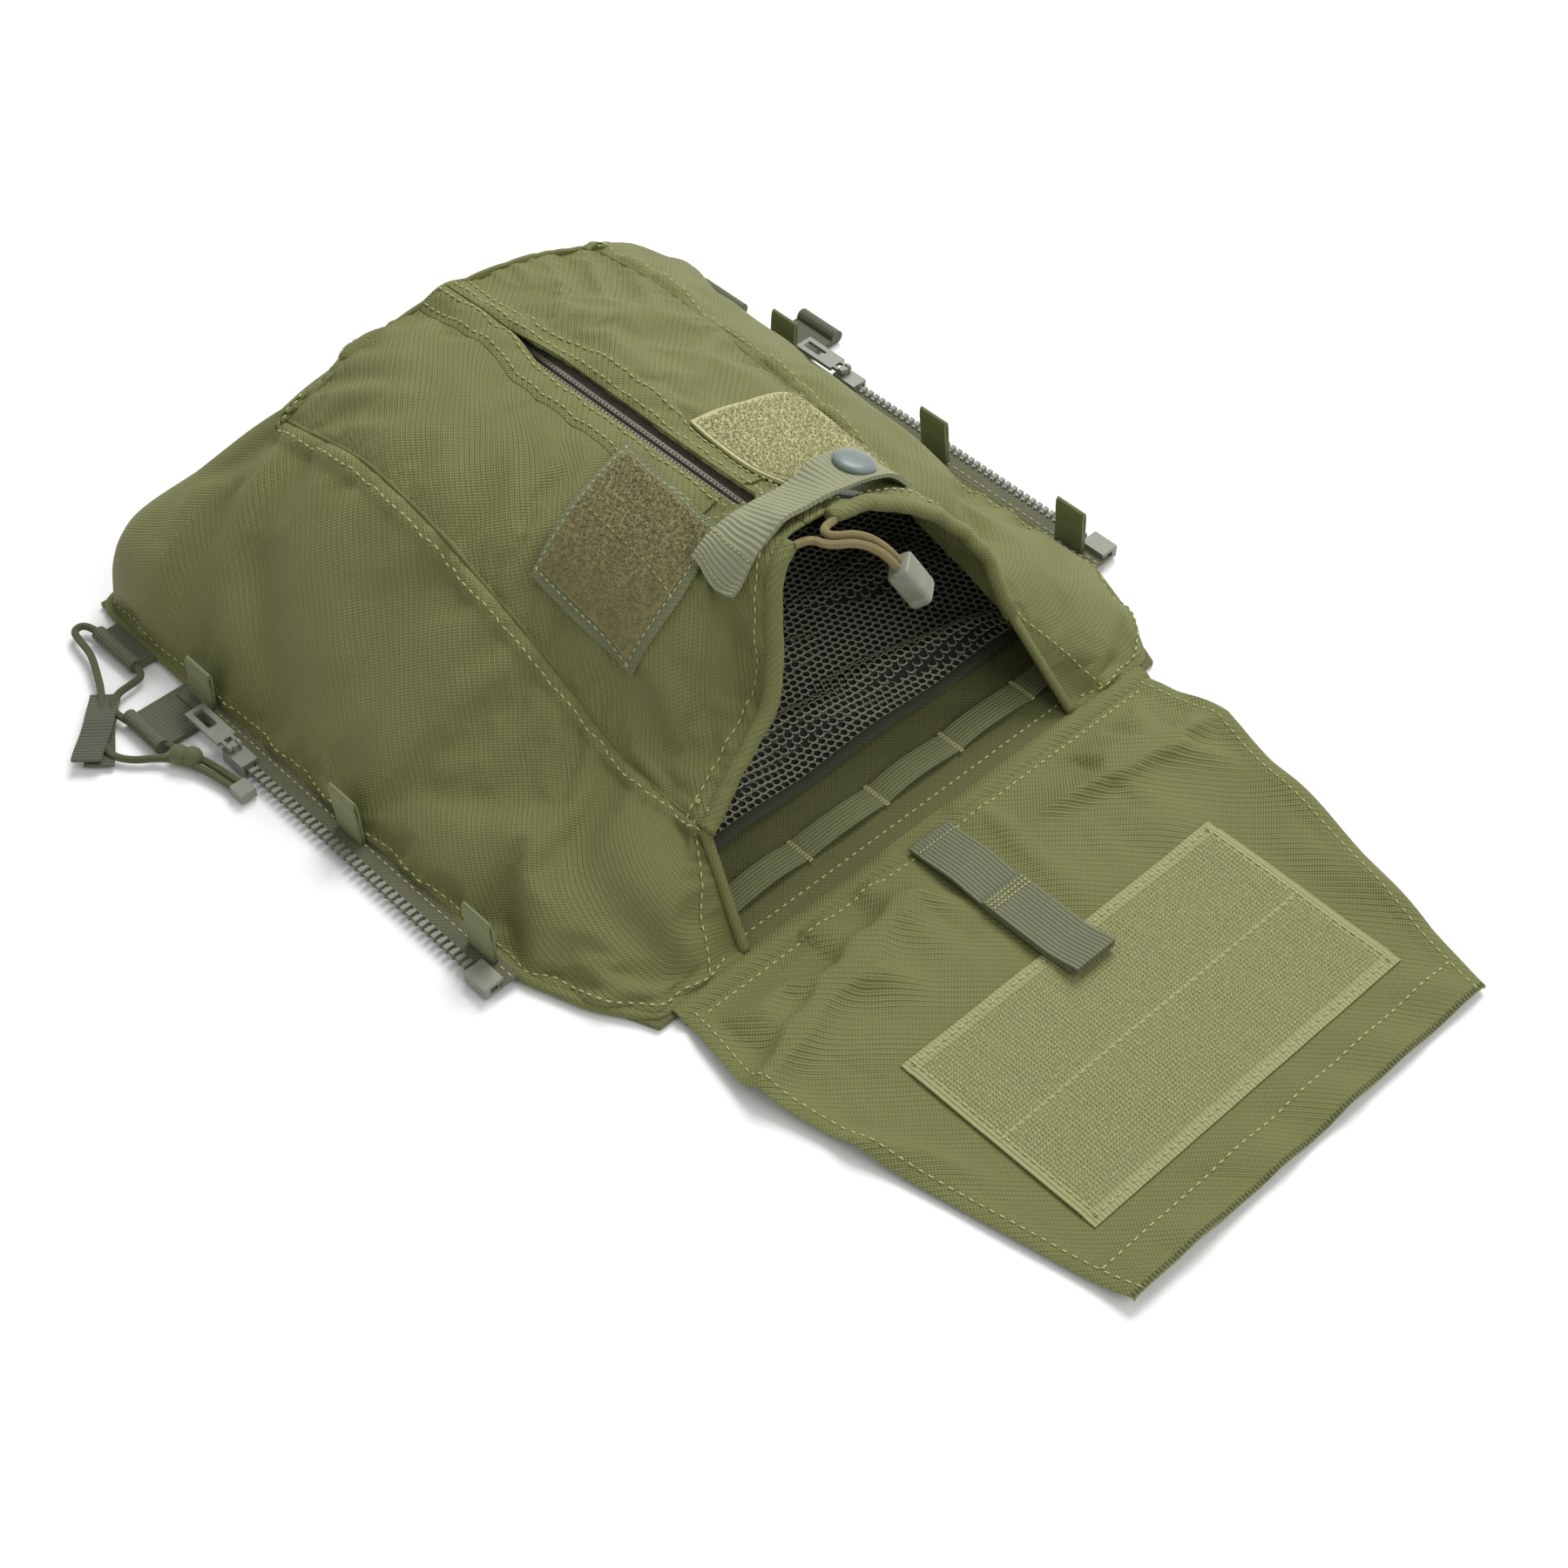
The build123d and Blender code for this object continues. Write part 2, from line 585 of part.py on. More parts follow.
# ---------------------------------------------------------------- bottom corner
# The shock cord on either side of the far webbing, whose rolled end hides the rest of it. Its points
# are measured from the pack's bottom left corner.
SHOCK_CORD_OUTER = [
    (-10.1, -14.0, 3.1), (-10.8, -7.0, 3.3), (-16.6, -6.8, 3.6), (-17.8, -13.6, 3.8),
    (-18.6, -21.8, 3.9), (-22.0, -30.4, 3.8), (-26.5, -40.5, 3.4), (-33.0, -50.0, 3.2),
    (-39.6, -59.5, 3.2), (-41.6, -68.5, 2.4), (-37.0, -75.5, 2.2), (-30.2, -80.6, 2.6),
    (-25.3, -87.5, 3.4), (-20.8, -99.0, 2.6), (-19.0, -111.0, 2.6),
]
SHOCK_CORD_INNER = [
    (-10.1, -38.0, 3.1), (-10.4, -43.6, 3.1), (-16.0, -44.5, 3.2), (-23.2, -45.2, 3.4),
    (-28.9, -49.4, 3.2), (-28.4, -57.0, 3.1), (-26.2, -64.0, 3.1), (-26.0, -72.5, 3.1),
    (-23.6, -81.0, 3.3), (-20.4, -89.4, 3.4), (-17.4, -99.6, 2.6), (-16.0, -111.0, 2.6),
]


def from_corner(x, y, z):
    """A place measured from the pack's bottom left corner."""
    return x - body_half_width, y + bottom_y, z


def corner_web(y0, y1, end_x):
    """Webbing folded out past the right edge of the pack, its end rolled round the shock cord."""
    middle_z = corner_web_foot + corner_roll_radius - 0.2
    roll_x = end_x - corner_roll_radius
    flat = block(body_half_width, roll_x, y0, y1, corner_web_foot, corner_web_foot + corner_web_thickness)
    roll = Pos(roll_x, (y0 + y1) / 2, middle_z) * Rot(90, 0, 0) * Cylinder(corner_roll_radius, y1 - y0)
    return flat + roll


def cord_knot():
    """Double overhand knot, as two rounded lumps."""
    upper = Pos(*from_corner(-24.3, -86.0, knot_radius + 0.1)) * Sphere(knot_radius)
    return upper + Pos(*from_corner(-21.6, -90.0, knot_radius + 0.1)) * Sphere(knot_radius)


def cord_tip():
    """Moulded end that both strands are sealed into."""
    x, y, _ = from_corner(-17.45, -111.0, 0)
    return block(x - 3.15, x + 3.15, y - 7.0, y, 0.6, 4.6)


def pull_tab():
    """Webbing folded over both strands of the shock cord."""
    middle_z = tab_thickness / 2 + 0.4
    return Pos(*tab_middle, middle_z) * Rot(0, 0, tab_heading) * Box(tab_length, tab_width, tab_thickness)


# ---------------------------------------------------------------- write the parts
def both(name, right):
    """A piece for the right side and its mirror image for the left side."""
    return {f"{name}_right": right, f"{name}_left": mirrored(right)}


nodes = pouch_panels()
nodes["back_panel"] = back_panel()
nodes["mesh_pocket"], nodes["mesh_binding"] = mesh_pocket()
nodes["daisy_chain"], nodes["daisy_chain_tacks"] = daisy_chain()
nodes["lid_base"], nodes["lid_tip"] = lid()
nodes["hook_patch_base"], nodes["hook_patch_tip"] = hook_patch()
nodes["hang_strap"] = hang_strap()

nodes["front_zip_tapes"], front_tape_top = front_zip_tapes()
nodes["front_zip_coil"] = front_zip_coil(front_tape_top)
nodes["front_zip_slider"], front_pin_y, front_pin_z = front_slider(front_tape_top)
nodes["front_zip_pull"] = front_pull(front_pin_y, front_pin_z)
nodes["zip_placket_right"], nodes["zip_placket_left"] = zip_plackets()

side_slider_right, side_pin_y, side_pin_z = side_slider()
nodes |= both("side_zip_tape", side_tape())
nodes |= both("side_zip_teeth", side_teeth())
nodes |= both("side_zip_box", side_box())
nodes |= both("side_zip_slider", side_slider_right)
nodes |= both("side_zip_pull", side_pull(side_pin_y, side_pin_z))
nodes |= both("side_loops", side_loops())

loop_patch = crown_band(loop_patch_inner_x, loop_patch_inner_x + loop_patch_size, loop_patch_near_y,
                        loop_patch_near_y + loop_patch_size, touch + placket_thickness, loop_patch_thickness)
nodes |= both("loop_patch", loop_patch)
nodes["snap_strap"] = snap_strap()
nodes["snap_strap_anchor"] = crown_band(
    snap_strap_start_x, snap_strap_start_x + snap_anchor_width, snap_strap_y - strap_width / 2,
    snap_strap_y + strap_width / 2, touch, snap_strap_lift - 2 * touch)
nodes["snap_cap"], nodes["snap_socket"], nodes["snap_stud"], nodes["snap_post"] = snap_fastener()

nodes |= both("mouth_hem", mouth_hem())
nodes["drawcord_in_hem"] = drawcord_in_hem()
nodes["drawcord_strand_right"] = cord(DRAWCORD_RIGHT, cord_diameter, "drawcord_strand_right")
nodes["drawcord_strand_left"] = cord(DRAWCORD_LEFT, cord_diameter, "drawcord_strand_left")
nodes["cord_end"], nodes["cord_end_cap"] = cord_end()

nodes |= both("corner_web_far", corner_web(*corner_web_far))
nodes |= both("corner_web_near", corner_web(*corner_web_near))
nodes["shock_cord_outer"] = cord(
    [from_corner(*p) for p in SHOCK_CORD_OUTER], shock_diameter, "shock_cord_outer")
nodes["shock_cord_inner"] = cord(
    [from_corner(*p) for p in SHOCK_CORD_INNER], shock_diameter, "shock_cord_inner")
nodes["cord_knot"] = cord_knot()
nodes["cord_tip"] = cord_tip()
nodes["pull_tab"] = pull_tab()

os.makedirs("parts", exist_ok=True)
for name, shape in nodes.items():
    export_step(shape, f"parts/{name}.step")
print(len(nodes), "nodes")
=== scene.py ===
"""A zip-on pack panel lying on its back with its lid thrown open: soft cloth, webbing, zips and cords."""

import math
import random

import bmesh
import bpy
import numpy as np
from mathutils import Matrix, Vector, noise


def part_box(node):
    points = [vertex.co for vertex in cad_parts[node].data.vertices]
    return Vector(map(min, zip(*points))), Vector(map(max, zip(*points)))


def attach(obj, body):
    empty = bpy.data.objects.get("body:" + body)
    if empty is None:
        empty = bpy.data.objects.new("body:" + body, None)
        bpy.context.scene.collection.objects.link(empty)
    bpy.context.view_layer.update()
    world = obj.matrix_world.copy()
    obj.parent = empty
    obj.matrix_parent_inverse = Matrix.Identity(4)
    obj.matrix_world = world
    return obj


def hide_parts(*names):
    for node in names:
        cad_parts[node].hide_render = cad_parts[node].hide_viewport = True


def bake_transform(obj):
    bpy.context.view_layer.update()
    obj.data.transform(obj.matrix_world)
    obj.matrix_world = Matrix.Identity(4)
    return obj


bl_info = {
    "name": "Zip-on pack panel",
    "version": (1, 0, 0),
    "blender": (4, 5, 0),
    "location": "3D View > Sidebar > Pack",
    "description": "Builds a soft pack panel with its lid, zips, straps, cords and stitching",
    "category": "Add Mesh",
}

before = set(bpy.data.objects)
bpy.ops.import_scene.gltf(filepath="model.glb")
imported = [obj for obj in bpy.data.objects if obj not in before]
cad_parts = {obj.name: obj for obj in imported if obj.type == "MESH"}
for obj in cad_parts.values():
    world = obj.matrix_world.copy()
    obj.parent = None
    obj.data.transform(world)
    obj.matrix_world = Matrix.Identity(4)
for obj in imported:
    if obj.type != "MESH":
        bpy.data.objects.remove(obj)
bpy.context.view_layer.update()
MM = 0.001

# ---------------------------------------------------------------- sizes, in millimetres
SEAM_X = 73.0                # the long front seams
MOUTH_Y, MOUTH_Z = -112.0, 37.0
MOUTH_TOP_Y, MOUTH_TOP_Z = -84.0, 108.0
FRONT_END_Y = 106.0
FOLD_Y = -250.0              # the open lid's cross fold
FOOT_Z = 2.6                 # where the gusset meets the back panel
CLOTH = 1.0                  # thickness of the body cloth

LEFT_SEAM = [(-112, 37), (-84, 43), (-63, 47), (-20, 67), (25, 83), (62, 88), (106, 76)]
RIGHT_SEAM = [(-112, 37), (-84, 47), (-58, 56), (-19, 70), (13, 74), (47, 79), (76, 80), (106, 76)]
MIDDLE = [(-112, 108), (-84, 108), (-58, 99), (-20, 98), (25, 98), (62, 98), (106, 95)]

# The drawcord's free strands and the shock cord's two runs, as their routes are cut, in metres.
DRAWCORD_RIGHT = [
    (0.009, -0.0886, 0.106), (0.0025, -0.0889, 0.1064), (0.001, -0.0952, 0.1078),
    (0.0088, -0.1006, 0.1082), (0.0139, -0.1079, 0.1041), (0.0166, -0.1113, 0.098),
]
DRAWCORD_LEFT = [
    (-0.009, -0.0886, 0.106), (-0.0032, -0.0896, 0.1064), (-0.0022, -0.0974, 0.1074),
    (0.0057, -0.103, 0.1078), (0.0113, -0.1099, 0.1041), (0.014, -0.1133, 0.098),
]
SHOCK_CORD_OUTER = [
    (-0.1511, 0.134, 0.0031), (-0.1518, 0.141, 0.0033), (-0.1576, 0.1412, 0.0036),
    (-0.1588, 0.1344, 0.0038), (-0.1596, 0.1262, 0.0039), (-0.163, 0.1176, 0.0038),
    (-0.1675, 0.1075, 0.0034), (-0.174, 0.098, 0.0032), (-0.1806, 0.0885, 0.0032),
    (-0.1826, 0.0795, 0.0024), (-0.178, 0.0725, 0.0022), (-0.1712, 0.0674, 0.0026),
    (-0.1663, 0.0605, 0.0034), (-0.1618, 0.049, 0.0026), (-0.16, 0.037, 0.0026),
]
SHOCK_CORD_INNER = [
    (-0.1511, 0.11, 0.0031), (-0.1514, 0.1044, 0.0031), (-0.157, 0.1035, 0.0032),
    (-0.1642, 0.1028, 0.0034), (-0.1699, 0.0986, 0.0032), (-0.1694, 0.091, 0.0031),
    (-0.1672, 0.084, 0.0031), (-0.167, 0.0755, 0.0031), (-0.1646, 0.067, 0.0033),
    (-0.1614, 0.0586, 0.0034), (-0.1584, 0.0484, 0.0026), (-0.157, 0.037, 0.0026),
]


# ---------------------------------------------------------------- small helpers
def smooth(value, start, end):
    """0 before start, 1 after end, and an even turn between them."""
    t = np.clip((np.asarray(value, float) - start) / (end - start), 0, 1)
    return t * t * (3 - 2 * t)


def table(rows, y):
    """A sewn height along the pack, with its corners rounded off."""
    ys, zs = zip(*rows)
    return np.mean([np.interp(np.asarray(y, float) + d, ys, zs) for d in (-10, -5, 0, 5, 10)], axis=0)


def ripple(x, y, seed):
    """Soft noise from -1 to 1 at each x, y, which are in wave lengths."""
    flat = np.broadcast_arrays(np.asarray(x, float), np.asarray(y, float))
    values = [noise.noise(Vector((a, b, seed * 7.31))) for a, b in zip(flat[0].ravel(), flat[1].ravel())]
    return np.array(values).reshape(flat[0].shape)


def normals_of(points):
    """Unit normals of a grid of points, square to both of its directions."""
    du = np.gradient(points, axis=0)
    dv = np.gradient(points, axis=1)
    n = np.cross(du, dv)
    return n / np.maximum(np.linalg.norm(n, axis=2, keepdims=True), 1e-12)


def finer(points):
    """The same grid with a smooth new row and column between every two."""
    for axis in (0, 1):
        p = np.moveaxis(points, axis, 0)
        padded = np.concatenate([2 * p[:1] - p[1:2], p, 2 * p[-1:] - p[-2:-1]])
        between = (9 * (padded[1:-2] + padded[2:-1]) - padded[:-3] - padded[3:]) / 16
        out = np.empty((2 * len(p) - 1, *p.shape[1:]))
        out[0::2], out[1::2] = p, between
        points = np.moveaxis(out, 0, axis)
    return points


def sample(grid, u, v):
    """Points of a grid at shares u and v of its two directions."""
    u, v = np.broadcast_arrays(np.asarray(u, float), np.asarray(v, float))
    n, m = grid.shape[:2]
    a, b = np.clip(u, 0, 1) * (n - 1), np.clip(v, 0, 1) * (m - 1)
    i, j = np.minimum(a.astype(int), n - 2), np.minimum(b.astype(int), m - 2)
    fa, fb = (a - i)[..., None], (b - j)[..., None]
    low = grid[i, j] * (1 - fb) + grid[i, j + 1] * fb
    high = grid[i + 1, j] * (1 - fb) + grid[i + 1, j + 1] * fb
    return low * (1 - fa) + high * fa


def relaxed(grid, times):
    """A grid with its small creases eased out and its rim kept."""
    for _ in range(times):
        middle = (grid[:-2, 1:-1] + grid[2:, 1:-1] + grid[1:-1, :-2] + grid[1:-1, 2:]) / 4
        grid = grid.copy()
        grid[1:-1, 1:-1] = middle
        for edge in (grid[0], grid[-1], grid[:, 0], grid[:, -1]):
            edge[1:-1] = (edge[:-2] + edge[2:]) / 2
    return grid


def link(name, mesh):
    """Puts a mesh or curve into the scene."""
    piece = bpy.data.objects.new(name, mesh)
    bpy.context.scene.collection.objects.link(piece)
    return piece


def finish_piece(piece, body, slot, *nodes, material=None):
    """Rides a piece on its body, hides what it stands for and gives it its material; its slot is not used.
    """
    if material is not None:
        piece.data.materials.clear()
        piece.data.materials.append(material)
    if body:
        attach(piece, body)
    if nodes:
        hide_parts(*nodes)
    return piece


def slab(name, points, thickness, up=(0, 0, 1)):
    """A closed piece of cloth: its upper face through a grid of points in mm, its lower face below that."""
    p = points * MM
    if float((normals_of(p) @ np.array(up, float)).mean()) < 0:
        p = p[:, ::-1]
    n, m = p.shape[:2]
    low = p - normals_of(p) * thickness * MM
    verts = np.concatenate([p.reshape(-1, 3), low.reshape(-1, 3)])
    index = np.arange(n * m).reshape(n, m)
    top = np.stack([index[:-1, :-1], index[1:, :-1], index[1:, 1:], index[:-1, 1:]], axis=2).reshape(-1, 4)
    bottom = top[:, ::-1] + n * m
    rim = np.concatenate([index[:, 0], index[-1, 1:], index[-2::-1, -1], index[0, -2:0:-1]])
    after = np.roll(rim, -1)
    sides = np.stack([rim, rim + n * m, after + n * m, after], axis=1)
    faces = np.concatenate([top, bottom, sides])
    mesh = bpy.data.meshes.new(name)
    mesh.from_pydata(verts.tolist(), [], faces.tolist())
    along = np.concatenate([[0], np.cumsum(np.linalg.norm(np.diff(p[:, m // 2], axis=0), axis=1))])
    across = np.concatenate([[0], np.cumsum(np.linalg.norm(np.diff(p[n // 2], axis=0), axis=1))])
    uv = np.stack(np.meshgrid(across, along), axis=2).reshape(-1, 2)
    uv = np.concatenate([uv, uv])
    layer = mesh.uv_layers.new(name="UVMap")
    loops = np.empty(len(mesh.loops), int)
    mesh.loops.foreach_get("vertex_index", loops)
    layer.data.foreach_set("uv", uv[loops].astype(np.float32).ravel())
    mesh.polygons.foreach_set("use_smooth", np.ones(len(faces), bool))
    rim_verts = {tuple(sorted((a, b))) for a, b in zip(rim, after)}
    rim_verts |= {tuple(sorted((a + n * m, b + n * m))) for a, b in zip(rim, after)}
    sharp = mesh.attributes.new("sharp_edge", "BOOLEAN", "EDGE")
    edge_keys = [tuple(sorted(e.vertices)) in rim_verts for e in mesh.edges]
    sharp.data.foreach_set("value", edge_keys)
    mesh.validate()
    return link(name, mesh)


def tube(name, path, radius, sides=10, flat=1.0):
    """A closed round or flattened bar along points in mm."""
    p = np.asarray(path, float) * MM
    tangent = np.gradient(p, axis=0)
    tangent /= np.maximum(np.linalg.norm(tangent, axis=1, keepdims=True), 1e-12)
    up = np.array([0.0, 0.0, 1.0])
    side = np.cross(tangent, up)
    side /= np.maximum(np.linalg.norm(side, axis=1, keepdims=True), 1e-9)
    lift = np.cross(side, tangent)
    radii = np.broadcast_to(np.asarray(radius, float), (len(p),))[:, None, None] * MM
    turn = np.linspace(0, 2 * math.pi, sides, endpoint=False)
    ring = side[:, None] * np.cos(turn)[None, :, None] + lift[:, None] * np.sin(turn)[None, :, None] * flat
    verts = (p[:, None] + ring * radii).reshape(-1, 3)
    index = np.arange(len(p) * sides).reshape(len(p), sides)
    nxt = np.roll(index, -1, axis=1)
    faces = np.stack([index[:-1], index[1:], nxt[1:], nxt[:-1]], axis=2).reshape(-1, 4)[:, ::-1].tolist()
    faces += [index[0].tolist(), index[-1].tolist()[::-1]]
    mesh = bpy.data.meshes.new(name)
    mesh.from_pydata(verts.tolist(), [], faces)
    length = np.concatenate([[0], np.cumsum(np.linalg.norm(np.diff(p, axis=0), axis=1))])
    round_it = np.repeat(turn[None] / (2 * math.pi) * 0.02, len(p), 0)
    uv = np.stack([round_it, np.repeat(length[:, None], sides, 1)], 2)
    layer = mesh.uv_layers.new(name="UVMap")
    loops = np.empty(len(mesh.loops), int)
    mesh.loops.foreach_get("vertex_index", loops)
    layer.data.foreach_set("uv", uv.reshape(-1, 2)[loops].astype(np.float32).ravel())
    mesh.polygons.foreach_set("use_smooth", np.ones(len(mesh.polygons), bool))
    recalculated(mesh)
    return link(name, mesh)


def recalculated(mesh):
    """Turns every face outwards."""
    bm = bmesh.new()
    bm.from_mesh(mesh)
    bmesh.ops.recalc_face_normals(bm, faces=bm.faces)
    bm.to_mesh(mesh)
    bm.free()


def joined(name, pieces):
    """Several meshes as one piece."""
    bm = bmesh.new()
    for piece in pieces:
        bm.from_mesh(piece.data)
    mesh = bpy.data.meshes.new(name)
    bm.to_mesh(mesh)
    bm.free()
    for piece in pieces:
        bpy.data.objects.remove(piece)
    return link(name, mesh)


# ---------------------------------------------------------------- cloth that finds its own folds
SOLVER_SCALE = 10            # the cloth solver is steadier on a larger piece


def settle(points, growth, pressure, frames, cap):
    """Lets a grid of cloth, sewn all round, buckle into soft folds; no point moves further than cap mm."""
    n, m = points.shape[:2]
    p = points * MM * SOLVER_SCALE
    index = np.arange(n * m).reshape(n, m)
    faces = np.stack([index[:-1, :-1], index[1:, :-1], index[1:, 1:], index[:-1, 1:]], axis=2).reshape(-1, 4)
    mesh = bpy.data.meshes.new("settling")
    mesh.from_pydata(p.reshape(-1, 3).tolist(), [], faces.tolist())
    piece = link("settling", mesh)
    sewn = piece.vertex_groups.new(name="sewn")
    edge = np.concatenate([index[0], index[-1], index[:, 0], index[:, -1]])
    sewn.add([int(i) for i in set(edge.tolist())], 1.0, "REPLACE")
    cloth = piece.modifiers.new("Cloth", "CLOTH")
    s = cloth.settings
    s.quality = 6
    s.mass = 0.3
    s.tension_stiffness = s.compression_stiffness = 12
    s.shear_stiffness = 6
    s.bending_stiffness = 0.6
    s.vertex_group_mass = "sewn"
    s.shrink_min = -growth
    s.use_pressure = True
    s.uniform_pressure_force = pressure
    s.effector_weights.gravity = 0.0
    cloth.collision_settings.use_collision = False
    cloth.point_cache.frame_start, cloth.point_cache.frame_end = 1, frames
    scene = bpy.context.scene
    for f in range(1, frames + 1):
        scene.frame_set(f)
    graph = bpy.context.evaluated_depsgraph_get()
    done = piece.evaluated_get(graph).data
    out = np.empty(n * m * 3, np.float32)
    done.vertices.foreach_get("co", out)
    scene.frame_set(1)
    bpy.data.objects.remove(piece)
    bpy.data.meshes.remove(mesh)
    moved = out.reshape(n, m, 3) / (MM * SOLVER_SCALE) - points
    moved = np.nan_to_num(moved)
    far = np.linalg.norm(moved, axis=2, keepdims=True)
    return points + moved * (cap * np.tanh(far / cap) / np.maximum(far, 1e-9))


# ---------------------------------------------------------------- the shape of the pouch
FALLEN_X = [0, 9, 17, 22, 27, 32, 55, 73, 80]       # the sunken left side of the mouth: out from the middle
FALLEN_Z = [108, 106.5, 102, 92, 76, 63, 49, 37, 33]


def z_round(middle, radius, x):
    """Height of a round cross section at x."""
    return middle - radius + np.sqrt(np.maximum(radius**2 - x**2, 0))


def crown(x, y):
    """Height of the front at x, y, with the sunken left side of the mouth."""
    x, y = np.asarray(x, float), np.asarray(y, float)
    corner = np.where(x < 0, table(LEFT_SEAM, y), table(RIGHT_SEAM, y))
    middle = table(MIDDLE, y)
    rise = middle - corner
    radius = (SEAM_X**2 + rise**2) / (2 * rise)
    z = z_round(middle, radius, x)
    fallen = np.mean([np.interp(-x + d, FALLEN_X, FALLEN_Z) for d in (-4, -2, 0, 2, 4)], axis=0)
    sunk = (z_round(middle, radius, x) - fallen) * (1 - smooth(y, -97, -48)) * smooth(-x, 3, 12)
    dip = 3.0 * np.exp(-(((x - 44) / 16) ** 2) / 2) * np.exp(-(((y + 30) / 30) ** 2) / 2)
    return z - sunk - dip


def mouth_y(z):
    """Where the slanting edge of the mouth is at height z."""
    return MOUTH_Y + (z - MOUTH_Z) * (MOUTH_TOP_Y - MOUTH_Y) / (MOUTH_TOP_Z - MOUTH_Z)


def mouth_start(x):
    """y of the mouth's edge on the front at x."""
    y = np.full_like(np.asarray(x, float), MOUTH_TOP_Y)
    for _ in range(40):
        y = 0.6 * y + 0.4 * np.clip(mouth_y(crown(x, y)), MOUTH_Y, MOUTH_TOP_Y)
    return y


def slot_half(y):
    """Half the gap between the two flies of the front zip."""
    return 0.3 + 4.1 * smooth(y, -61, -55) * (1 - smooth(y, 42, 68))


class Front:
    """One half of the pouch's front, after its cloth has settled."""

    rows, columns = 90, 34

    def __init__(self, side):
        self.side = side
        v = np.linspace(0, 1, self.columns)[None]
        u = np.linspace(0, 1, self.rows)[:, None]
        x = np.broadcast_to(SEAM_X * v, (self.rows, self.columns)) * side
        start = mouth_start(x)
        y = start + (FRONT_END_Y - start) * u
        edge = slot_half(y)
        x = side * (edge + (SEAM_X - edge) * np.abs(x) / SEAM_X)
        z = crown(x, y)
        z += (1.9 * smooth(y, 40, 66) + 1.5 * smooth(y, 70, 84)) * np.exp(-((np.abs(x) / 9) ** 2))
        points = np.stack([x, y, z], axis=2)
        inside = np.sin(np.pi * u) ** 0.5 * np.sin(np.pi * v) ** 0.5
        wave = ripple(x / 34 + 3, y / 60, 3 + side) * 2.2
        wave += ripple(x / 13, (y + x * side * 0.6) / 26, 9 + side) * 0.9
        corner = np.exp(-(((np.abs(x) - 62) / 20) ** 2) - ((y - 92) / 26) ** 2)
        wave += corner * 3.6 * np.sin((y - 2.1 * np.abs(x)) / 6.5)
        points[..., 2] += wave * inside
        points = settle(points, 0.035, 0.2, 24, 4.6)
        self.grid = finer(points)
        self.start = start[0]

    def share(self, x, y):
        """Shares of the grid's two directions that x, y falls on."""
        a = np.abs(x)
        edge = slot_half(y)
        v = np.clip((a - edge) / (SEAM_X - edge), 0, 1)
        start = np.interp(v * SEAM_X, np.linspace(0, SEAM_X, self.columns), self.start)
        return (y - start) / (FRONT_END_Y - start), v

    def at(self, x, y, lift=0.0):
        """Points of the settled cloth at x, y, raised square to it."""
        u, v = self.share(np.asarray(x, float), np.asarray(y, float))
        return sample(self.grid, u, v) + sample(self.out, u, v) * np.asarray(lift, float)[..., None]

    @property
    def out(self):
        n = normals_of(self.grid)
        return n if n[..., 2].mean() > 0 else -n


# Where the gusset's rows start and end: down the left side, then across half of the far end.
FLOOR_LEFT = [(-80, -138.6), (-104, -139.8), (-119, -139.4), (-131, -122), (-140, -97), (-141, -80),
              (-141, 115)]
SEAM_ROWS = [-112, -107.5, -103, -96, -88, -80, 106]
FLOOR_END = [(-141, 115), (-141, 140), (-139.6, 145.5), (-135, 147.6), (-118, 148), (0, 148)]


